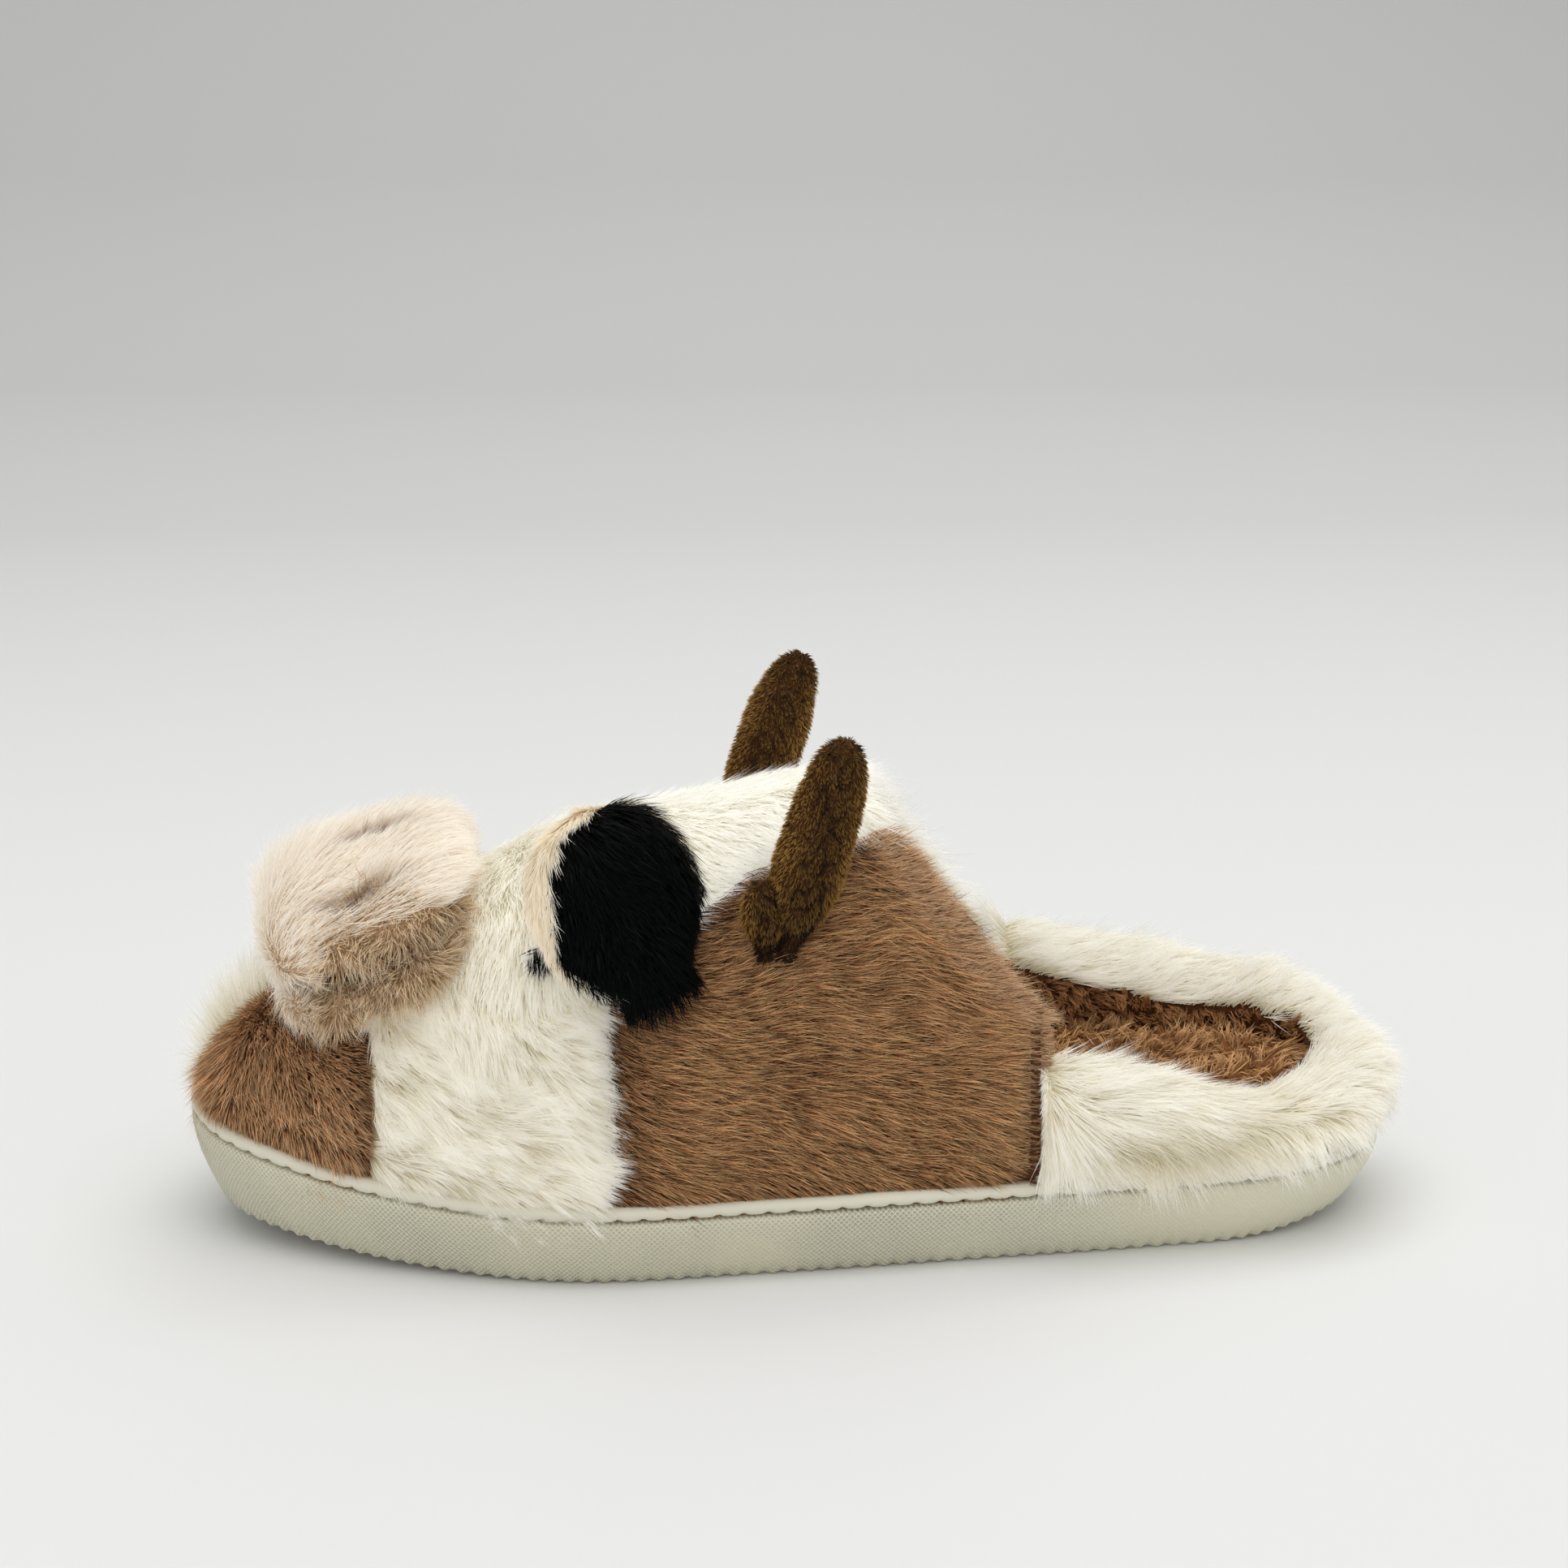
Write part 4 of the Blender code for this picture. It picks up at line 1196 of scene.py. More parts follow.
    def build(self) -> None:
        """Makes skin and lining as one shell and grows the fur."""
        self.skin = self.grid(0.0, self.stations, self.around)
        edge = np.minimum(1, np.minimum(np.arange(self.around),
                                        np.arange(self.around)[::-1]) / 5)[None]
        self.skin = self.skin.displaced(self.relief(self.skin.points) * edge)
        self.lining = self.grid(LAST.wall, self.stations, self.around)
        self.skin = self.rolled(self.skin.points, self.lining.points[-1])
        rows, cols = self.stations, self.around
        outer = self.skin.points.shape[0] * cols
        points = np.concatenate([self.skin.points.reshape(-1, 3),
                                 self.lining.points.reshape(-1, 3)])
        faces = self.skin.faces()
        masks = self.panel(self.skin.points[:-1, :-1])
        slots = list((masks[Panel.TOE_BROWN] | masks[Panel.SIDE_BROWN]).ravel().astype(int))
        inside = self.lining.faces(outer)
        rest = []
        for j in range(cols - 1):
            a, b = outer - cols + j, outer + (rows - 1) * cols + j
            rest.append((b, b + 1, a + 1, a))
            rest.append((j, j + 1, outer + j + 1, outer + j))
        for i in range(rows - 1):
            for j in (0, cols - 1):
                a, b = i * cols + j, (i + 1) * cols + j
                quad = (a, b, b + outer, a + outer)
                rest.append(quad[::-1] if j == 0 else quad)
        for j in (0, cols - 1):
            roll = [k * cols + j for k in range(rows - 1, self.skin.points.shape[0])]
            roll.append(outer + (rows - 1) * cols + j)
            rest.append(tuple(roll[::-1] if j == 0 else roll))
        faces += inside + rest
        slots += [2] * len(inside + rest)
        shell = add_mesh("upper_shell", points, faces,
                         [material_of(WHITE_CLOTH), material_of(BROWN_CLOTH),
                          material_of(LINING_CLOTH)], slots)
        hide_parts("upper")
        report(shell)
        self.grow_fur()
        self.stitch()

    def rolled(self, points: Vec, inner: Vec) -> Grid:
        """Rolls the throat's edge over towards the lining.

        Args:
            points: points of the skin.
            inner: the lining's last row.

        Returns:
            The skin with the roll's rows added.
        """
        edge, out = points[-1], unit(points[-1] - points[-3])
        extra = [edge * (1 - t) + inner * t + out * 0.0016 * math.sin(math.pi * t)
                 for t in (0.2, 0.4, 0.6, 0.8)]
        return Grid(np.concatenate([points, np.stack(extra)]))

    def comb(self, p: Vec, _: Vec) -> Vec:
        """Lie of the nap, blended between places where it was read off the slipper."""
        return COMB.direction(p)

    def grow_fur(self) -> None:
        """Grows each panel's coat."""
        brown = FurStyle(length=0.0088, root_lift=36, tip_lift=9, clump=0.42,
                         clump_size=0.0012, spread=12, width=0.00022, ruffle=0.16,
                         ruffle_size=0.010)
        tufty = FurStyle(length=0.0108, root_lift=42, tip_lift=12, clump=0.64,
                         clump_size=0.0022, spread=12, width=0.00025, ruffle=0.24,
                         ruffle_size=0.007)
        flat = FurStyle(length=0.0092, root_lift=30, tip_lift=6, clump=0.28,
                        clump_size=0.0018, spread=10, width=0.00025, ruffle=0.14,
                        ruffle_size=0.012)
        toe = FurStyle(length=0.0088, root_lift=56, tip_lift=20, clump=0.28,
                       clump_size=0.0012, spread=12, width=0.00023, ruffle=0.14)
        fluffy = FurStyle(length=0.0120, root_lift=60, tip_lift=40, clump=0.40,
                          clump_size=0.0020, spread=14, width=0.00025, ruffle=0.2)
        coats = (
            (Panel.TOE_WHITE, 8000, fluffy, WHITE_FUR, 16),
            (Panel.TOE_BROWN, 17000, toe, TOE_LIT_FUR, 11),
            (Panel.SIDE_BROWN, 40000, brown, BROWN_FUR, 12),
            (Panel.MIDDLE_WHITE, 22000, tufty, WHITE_FUR, 13),
            (Panel.UPPER_WHITE, 14000, flat, UPPER_LIT_FUR, 17),
            (Panel.TOP_WHITE, 18000, flat, TOP_LIT_FUR, 14),
            (Panel.FAR_WHITE, 10000, flat, TOP_LIT_FUR, 15),
        )
        pale = set(Panel) - {Panel.TOE_BROWN, Panel.SIDE_BROWN}
        for panel, count, style, finish, seed in coats:
            rng = np.random.default_rng(seed)
            area = Grid(self.skin.points[:-8]) if panel is Panel.SIDE_BROWN else self.skin
            roots, normals = area.roots(
                count, rng, lambda p, n, panel=panel: self.panel(p)[panel].astype(float))
            coat = FurCoat(style, seed, self.comb)
            fur = coat.grow(f"fur_{panel.value}", roots, normals, material_of(finish),
                            shade=self.hollow_shade if panel in pale else self.seam_shade,
                            scale=self.pale_scale if panel in pale else self.seam_scale,
                            hang=self.hang)
            report(fur)
        self.edge_fur()

    def edge_fur(self) -> None:
        """Grows the light fringe where the brown side ends at the throat and the collar."""
        style = FurStyle(length=0.0058, root_lift=42, tip_lift=24, clump=0.25, spread=16,
                         clump_size=0.0012, width=0.00022, ruffle=0.1)
        rim = Grid(self.skin.points[-10:])
        roots, normals = rim.roots(8000, np.random.default_rng(18), lambda p, n: (
            (p[..., 1] < self.top_edge(p[..., 0])) & (p[..., 2] > 0.019)).astype(float))
        fringe = FurCoat(style, 19, lambda p, n: np.tile([1.0, -0.1, 0.15], (len(p), 1))).grow(
            "fur_throat_edge", roots, normals, material_of(EDGE_FUR),
            scale=lambda p: np.where(p[:, 2] < 0.052, 0.45, 1.0))
        report(fringe)

    def seam_shade(self, p: Vec) -> Vec:
        """Painted shade on the brown fur beside the seams, in their troughs, and at the rear edge.

        Args:
            p: roots of hairs.

        Returns:
            The painted shade from 0 to 1 at each root.
        """
        seam = 0.75 * np.exp(-(self.seam_gap(p) / 0.0036) ** 2)
        rear = 0.55 * np.exp(-((p[:, 0] - LAST.upper_end_x + 0.004) / 0.003) ** 2)
        return np.clip(seam + rear * (p[:, 2] < 0.056), 0, 0.85)

    def hollow_shade(self, p: Vec) -> Vec:
        """Painted shade in the partings of the long white fur, creamy in tone."""
        collar_part_shade = np.clip(wavy(p * [1, 1, 1.6], 0.0065, 23) - 0.35, 0, 1)
        return 0.25 * collar_part_shade * np.clip((0.060 - p[:, 2]) / 0.02, 0.0, 1)

    def seam_scale(self, p: Vec) -> Vec:
        """Shorter brown fur beside the seams and the throat's side edge.

        Args:
            p: roots of hairs.

        Returns:
            The length factor at each root.
        """
        near = np.exp(-(self.seam_gap(p) / 0.0040) ** 2)
        end = np.exp(-((p[:, 0] - LAST.upper_end_x) / 0.0060) ** 2) * (p[:, 2] < 0.056)
        return (1 - 0.45 * near) * (1 - 0.70 * end) * self.rim_scale(p)

    def pale_scale(self, p: Vec) -> Vec:
        """Shorter white fur before the seam with the brown side."""
        near = np.exp(-((p[:, 0] - self.side_seam_x) / 0.0050) ** 2) * (p[:, 2] < 0.062)
        return (1 - 0.36 * near) * self.rim_scale(p)

    def rim_scale(self, p: Vec) -> Vec:
        """Shorter fur just above the welt."""
        return np.clip((p[:, 2] - LAST.rim(p[:, 0])) / 0.010, 0.80, 1.0)

    def hang(self, p: Vec) -> Vec:
        """Droop of the fur over the welt."""
        return 0.6 * np.clip(1 - (p[:, 2] - LAST.rim(p[:, 0]) - 0.003) / 0.006, 0, 1)

    def stitch(self) -> None:
        """Sews the overlocked edge behind the brown side and the seam in front of it."""
        rng = np.random.default_rng(20)
        rows = []
        for x, width, low, high in ((LAST.upper_end_x - 0.0014, 0.0024, 0.0185, 0.052),
                                    (self.side_seam_x + 0.0062, 0.0020, 0.020, 0.050),
                                    (self.toe_seam_x - 0.0030, 0.0026, 0.024, 0.046)):
            for z in np.arange(low, high, self.stitch_pitch):
                rows.append((x, z + rng.normal(0, 0.00015), width * rng.uniform(0.75, 1.05)))
        points, faces = [], []
        for x, z, width in rows:
            ends = np.array([x - width / 2, x + width / 2])
            lift = 0.0030 if x > 0 else 0.0014
            place = self.surface(ends, np.array([z, z - 0.0003]))
            a, b = place[0] + [0, -lift, 0], place[1] + [0, -lift, 0]
            self.thread(points, faces, a, b)
        piece = add_mesh("seam_stitches", np.array(points), faces, [material_of(THREAD)])
        report(piece)

    def surface(self, x: Vec, z: Vec) -> Vec:
        """Points on the outer side of the upper at given x and z."""
        share = np.clip((z - LAST.rim(x)) / LAST.rise(x, 0.0), 0, 1)
        return LAST.section(x, np.arcsin(share ** (LAST.fullness / 2)), 0.0)

    def thread(self, points: list, faces: list, a: Vec, b: Vec) -> None:
        """Adds one stitch, a thin bow.

        Args:
            points: vertices so far, which are added to.
            faces: faces so far, which are added to.
            a: where the stitch starts.
            b: where it ends.
        """
        base = len(points)
        middle = (a + b) / 2 + [0, -0.0006, 0]
        radius = 0.00030
        for spot in (a, middle, b):
            for k in range(4):
                turn = k * math.pi / 2
                points.append(spot + [0, math.cos(turn) * radius, math.sin(turn) * radius])
        for ring in range(2):
            for k in range(4):
                c = base + ring * 4 + k
                d = base + ring * 4 + (k + 1) % 4
                faces.append((d, d + 4, c + 4, c))
        faces.append(tuple(base + k for k in (3, 2, 1, 0)))
        faces.append(tuple(base + 8 + k for k in range(4)))


@dataclass(frozen=True)
class CombField:
    """Lie of the nap at a few places of the upper, blended in between."""

    rows: tuple[tuple[float, float, float, float, float, float], ...]

    def direction(self, p: Vec) -> Vec:
        """The nap's direction, blended from the nearest rows.

        Args:
            p: places on the skin.

        Returns:
            A unit vector for each place.
        """
        table = np.array(self.rows)
        gap = np.linalg.norm(p[:, None] - table[None, :, :3], axis=-1)
        weight = 1 / np.maximum(gap, 0.002) ** 3
        return unit((weight[..., None] * unit(table[None, :, 3:])).sum(1))


COMB = CombField((
    # x, y, z, then the direction
    (-0.128, -0.008, 0.034, 0.10, -0.50, -0.90),
    (-0.115, -0.020, 0.042, 0.80, -0.30, -0.60),
    (-0.103, -0.033, 0.030, 0.80, 0.00, -0.60),
    (-0.112, -0.026, 0.024, 0.60, 0.00, -0.90),
    (-0.126, 0.012, 0.036, -0.55, 0.10, 0.75),
    (-0.118, 0.022, 0.040, -0.45, 0.20, 0.80),
    (-0.070, -0.012, 0.078, 0.20, -0.70, -0.60),
    (-0.062, -0.032, 0.066, 0.10, -0.20, -1.00),
    (-0.082, -0.036, 0.044, 0.80, 0.00, -0.55),
    (-0.060, -0.045, 0.034, 0.95, 0.00, -0.26),
    (-0.050, -0.045, 0.046, 0.84, 0.00, -0.50),
    (-0.078, -0.045, 0.026, 1.00, 0.00, -0.18),
    (-0.060, -0.047, 0.022, 1.00, 0.00, -0.10),
    (-0.022, -0.044, 0.046, 1.00, 0.00, -0.05),
    (0.008, -0.042, 0.052, 1.00, 0.00, 0.05),
    (0.032, -0.038, 0.040, 1.00, 0.00, -0.10),
    (0.000, -0.045, 0.024, 1.00, 0.00, -0.35),
    (0.035, -0.038, 0.024, 0.90, 0.00, -0.40),
    (-0.010, -0.035, 0.071, 0.95, 0.00, 0.25),
    (0.026, -0.034, 0.070, 0.90, 0.00, -0.30),
    (-0.035, -0.010, 0.090, 0.35, -0.85, -0.20),
    (0.000, -0.012, 0.096, 0.45, -0.75, -0.20),
    (0.010, 0.010, 0.096, 0.80, 0.40, 0.10),
    (-0.035, 0.012, 0.088, 0.30, 0.85, -0.20),
    (-0.060, 0.030, 0.060, 0.50, 0.20, -0.80),
    (0.000, 0.038, 0.050, 0.90, 0.10, -0.40),
    (0.040, 0.034, 0.045, 1.00, 0.20, 0.10),
))


@dataclass
class HeelCollar:
    """The stuffed collar round the heel, its white coat and its brown lining."""

    thickness: float = 0.0190
    height: float = 0.0350
    end_share: float = 0.50
    taper: float = 0.030
    foot: float = 0.0045
    middle_x: float = 0.060
    parting_z: float = 0.0275
    around: int = 170
    lining_columns: tuple[int, int] = (29, 39)
    section: tuple[tuple[float, float], ...] = (
        (0.20, 0.00), (0.06, 0.04), (0.00, 0.17), (-0.03, 0.33), (-0.03, 0.50),
        (0.01, 0.68), (0.10, 0.85), (0.24, 0.96), (0.42, 1.00), (0.62, 0.93),
        (0.76, 0.78), (0.83, 0.55), (0.83, 0.20),
    )
    top_line: tuple[tuple[float, float], ...] = (
        (0.00, 0.76), (0.14, 0.57), (0.28, 0.42), (0.40, 0.45), (0.50, 0.55),
        (0.60, 0.69), (0.70, 0.81), (0.80, 0.87), (0.90, 0.95), (1.00, 1.12),
    )
    skin: Grid = field(init=False)

    def path(self) -> tuple[Vec, Vec, Vec]:
        """Plan of the rim from the upper's outer end round the heel to its inner end.

        Returns:
            Points, outward normals, and the run along the rim to each point.
        """
        plan, normals, _ = LAST.loop(720)
        start = LAST.upper_end_x + 0.0003
        heel = plan[:, 0] > start + 0.0012
        first, last = (LAST.edges(np.array([start]), 0.0)[side][0] for side in (0, 1))
        points = np.vstack([[start, first], plan[heel], [start, last]])
        facing = np.vstack([[0, -1], normals[heel], [0, 1]])
        length = np.concatenate([[0], np.cumsum(np.linalg.norm(np.diff(points, axis=0), axis=1))])
        at = np.linspace(0, length[-1], self.around)
        spot = np.stack([np.interp(at, length, points[:, k]) for k in (0, 1)], 1)
        normal = unit(np.stack([np.interp(at, length, facing[:, k]) for k in (0, 1)], 1))
        return spot, normal, at

    def build(self) -> None:
        """Makes the collar and grows its coats."""
        spot, normal, run = self.path()
        from_end = np.minimum(run, run[-1] - run)
        full = self.end_share + (1 - self.end_share) * np.sin(
            math.pi / 2 * np.minimum(1, from_end / self.taper))
        xs, ys = zip(*self.top_line)
        tall = self.height * smooth_table(run / run[-1], xs, ys)
        base = LAST.rim(spot[:, 0]) + 0.0003
        shares = np.array(self.section)
        fine = np.linspace(0, 1, 40)
        knots = np.linspace(0, 1, len(shares))
        inward = smooth_table(fine, knots, shares[:, 0])
        up = smooth_table(fine, knots, shares[:, 1])
        rows = []
        for j in range(len(fine)):
            side = np.where(inward[j] < 0, full, 1.0)
            inset = self.thickness * inward[j] * side
            z = base + self.foot + (tall - self.foot) * up[j]
            rows.append(np.column_stack([spot - normal * inset[:, None], z]))
        bottom = [np.column_stack([spot - normal * inset, base])
                  for inset in (self.thickness * 0.83, LAST.upper_inset + 0.0003)]
        points = np.stack(rows + bottom, 0)
        whole = Grid(points.transpose(1, 0, 2), closed=True)
        bumps = 0.0006 * wavy(whole.points, 0.018, 8)
        bumps[:, -2:] = 0
        bumps[:, :2] = 0
        whole = whole.displaced(bumps)
        self.skin = Grid(whole.points[:, :len(rows)])
        count = whole.points.shape[1]
        faces = whole.faces()
        first, last = self.lining_columns
        lining = [int(first <= k % count <= last) for k in range(len(faces))]
        piece = add_mesh("collar_cushion", whole.points, faces + caps(whole),
                         [material_of(WHITE_CLOTH), material_of(LINING_CLOTH)], lining + [0, 0])
        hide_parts("heel_collar")
        report(piece)
        self.grow_fur()

    def inside(self, p: Vec, n: Vec) -> Vec:
        """How far each place faces the foot, from -1 outside to 1 inside."""
        inward = unit(np.array([self.middle_x, -0.002]) - p[:, :2])
        return (n[:, :2] * inward).sum(-1)

    def outside(self, p: Vec, n: Vec) -> Vec:
        """Whether a place wears the white coat, which hangs over the far side's lining."""
        return (self.inside(p, n) < 0.40) | (n[:, 2] > np.where(p[:, 1] > 0.012, 0.30, 0.55))

    def lean(self, p: Vec, x: float, z: float) -> Vec:
        """The nap's direction on one end of the collar.

        Args:
            p: roots of hairs.
            x: how far the hairs lie along the shoe.
            z: how far they lie upwards, or 0 where they rise evenly.

        Returns:
            The direction at each root.
        """
        level = (p[:, 2] - LAST.rim(p[:, 0])) / 0.030 - 0.45
        return np.stack([np.full(len(p), x), p[:, 1] * 0,
                         np.minimum(level, -0.3) * z + 0.25 * (z == 0)], -1)

    def end_fur(self) -> None:
        """Grows fur over the collar's two ends, leaning towards the upper."""
        ends = [self.skin.points[:3], self.skin.points[-3:]]
        # length and number of the hairs, then how they lie along the shoe and upwards
        for number, (rows, length, count, x, z) in enumerate(
                zip(ends, (0.0032, 0.0115), (1700, 1800), (-0.10, -1.0), (1.0, 0.0))):
            roots, normals = Grid(rows).roots(
                count, np.random.default_rng(35 + number),
                lambda p, n: self.outside(p, n).astype(float))
            style = FurStyle(length=length, root_lift=48, tip_lift=24, clump=0.35, spread=16,
                             width=0.00025)

            fur = FurCoat(style, 37 + number, lambda p, n, x=x, z=z: self.lean(p, x, z)).grow(
                f"fur_collar_end_{'near' if number == 0 else 'far'}", roots, normals,
                material_of(WHITE_FUR))
            report(fur)

    def comb(self, p: Vec, n: Vec) -> Vec:
        """Fur sweeps back round the heel, hangs at the foot and rises at the top.

        Args:
            p: roots of hairs.
            n: the skin's normals there.

        Returns:
            The nap's direction at each root.
        """
        backwards = unit(np.stack([np.ones(len(p)), p[:, 1] * 0, p[:, 0] * 0], -1)
                         * np.where(p[:, :1] > 0.115, 0.3, 1.0))
        level = (p[:, 2] - LAST.rim(p[:, 0])) / 0.030
        drop = np.where(level < 0.42, -1.3, np.where(level < 0.7, -0.25, 0.35))
        hang = np.stack([p[:, 0] * 0, p[:, 0] * 0, drop], -1)
        end = np.clip(1 - (p[:, :1] - LAST.upper_end_x) / 0.012, 0, 1) * (p[:, 1:2] < 0)
        return backwards * 0.8 * (1 - 0.9 * end) + hang + n * 0.2 + end * [0.0, 0.0, -0.7]

    def collar_part_shade(self, p: Vec) -> Vec:
        """Painted shade, creamy in tone, along the line where the fur parts half way up the near
        side.

        Args:
            p: roots of hairs.

        Returns:
            The painted shade from 0 to 1 at each root.
        """
        level = p[:, 2] - self.parting_z
        reach = np.clip((p[:, 0] - 0.056) / 0.01, 0, 1) * np.clip((0.108 - p[:, 0]) / 0.02, 0, 1)
        return 0.55 * np.exp(-(level / 0.0028) ** 2) * reach * (p[:, 1] < 0)

    def grow_fur(self) -> None:
        """Grows the white coat outside and over the top, and the lining's curls inside."""
        rng = np.random.default_rng(31)
        style = FurStyle(length=0.0098, root_lift=42, tip_lift=13, clump=0.45,
                         clump_size=0.0022, spread=14, ruffle=0.30, ruffle_size=0.008,
                         droop=0.08, width=0.00025)
        roots, normals = self.skin.roots(
            44000, rng, lambda p, n: (self.outside(p, n) & (
                p[:, 2] > LAST.rim(p[:, 0]) + 0.0015
                + 0.0075 * np.clip((p[:, 0] - 0.080) / 0.03, 0, 1))).astype(float))
        fur = FurCoat(style, 32, self.comb).grow(
            "fur_heel_collar", roots, normals, material_of(WHITE_FUR),
            shade=self.collar_part_shade,
            scale=lambda p: 1 - 0.15 * np.clip((p[:, 0] - 0.10) / 0.03, 0, 1))
        report(fur)
        curls = FurStyle(length=0.0038, root_lift=70, tip_lift=30, clump=0.80,
                         clump_size=0.0022, spread=28, curl=0.0006, width=0.00042,
                         ruffle=0.9, ruffle_size=0.005)
        roots, normals = self.skin.roots(
            9000, rng, lambda p, n: (~self.outside(p, n)).astype(float))
        lining = FurCoat(curls, 33, lambda p, n: np.tile([0.6, 0.0, -0.5], (len(p), 1))).grow(
            "fur_collar_lining", roots, normals, material_of(LINING_PLUSH))
        report(lining)
        self.end_fur()


@dataclass
class Insole:
    """The plush insole: a padded sheet under short curls."""

    thickness: float = 0.0158
    crown: float = 0.0015
    front_inset: float = 0.0092
    rear_inset: float = 0.0190
    around: int = 160
    rings: int = 14

    def height(self, x: Vec, y: Vec) -> Vec:
        """Height of the insole's top, kept under the lining in the toe.

        Args:
            x: places along the shoe.
            y: places across it.

        Returns:
            The height at each place.
        """
        top = LAST.rim(x) + self.thickness + self.crown * np.clip((x + 0.10) / 0.02, 0, 1)
        outer, inner = LAST.edges(x, LAST.upper_inset + LAST.wall)
        middle, half = (outer + inner) / 2, (inner - outer) / 2
        across = np.clip(np.abs(y - middle) / np.maximum(half, 1e-6), 0, 0.999)
        start = LAST.front(LAST.upper_inset + LAST.wall)
        room = np.maximum(LAST.rise(np.maximum(x, start + 1e-4), LAST.wall), 0)
        room = room * (1 - across ** LAST.fullness) ** (1 / LAST.fullness) * 0.85
        roof = LAST.rim(x) + np.maximum(room, 0.0015)
        return np.where(x < LAST.upper_end_x, np.minimum(top, roof), top)

    def build(self) -> None:
        """Makes the insole and its curls."""
        plan, normals, _ = LAST.loop(self.around)
        rear = np.clip((plan[:, 0] - LAST.upper_end_x + 0.0265) / 0.0265, 0, 1)
        inset = self.front_inset + (self.rear_inset - self.front_inset) * rear
        edge = plan - normals * inset[:, None]
        spine = np.stack([edge[:, 0] * 0.86, np.full(len(edge), -0.002)], 1)
        rows = []
        for share in np.linspace(0, 0.985, self.rings):
            spot = edge + (spine - edge) * share
            z = self.height(spot[:, 0], spot[:, 1]) - 0.0022 * (share == 0)
            rows.append(np.column_stack([spot, z]))
        floor = np.column_stack([edge, LAST.rim(edge[:, 0]) + 0.0004])
        top = Grid(np.array(rows), closed=True)
        if top.normals[..., 2].mean() < 0:
            top = Grid(np.array(rows), closed=True, flip=True)
        top = top.displaced(0.0005 * wavy(top.points, 0.012, 3))
        points = np.vstack([floor, top.points.reshape(-1, 3)])
        faces = top.faces(len(floor))
        count = self.around
        faces += strip(np.arange(count), np.arange(count) + count)
        faces.append(tuple(range(count))[::-1])
        last = len(points) - count
        faces.append(tuple(last + k for k in range(count)))
        piece = add_mesh("insole_pad", points, faces, [material_of(CARAMEL_CLOTH)])
        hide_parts("insole")
        report(piece)
        rng = np.random.default_rng(41)
        style = FurStyle(length=0.0048, root_lift=58, tip_lift=20, clump=0.85,
                         clump_size=0.0028, spread=30, curl=0.0006, width=0.00046,
                         ruffle=1.4, ruffle_size=0.005)
        roots, facing = top.roots(14500, rng, lambda p, n: (
            (n[:, 2] > 0.3) * np.where(p[:, 0] > -0.005, 1.0, 0.12)))
        fur = FurCoat(style, 42, lambda p, n: np.tile([0.8, -0.6, 0.0], (len(p), 1))).grow(
            "fur_insole", roots, facing, material_of(CARAMEL_PLUSH))
        report(fur)


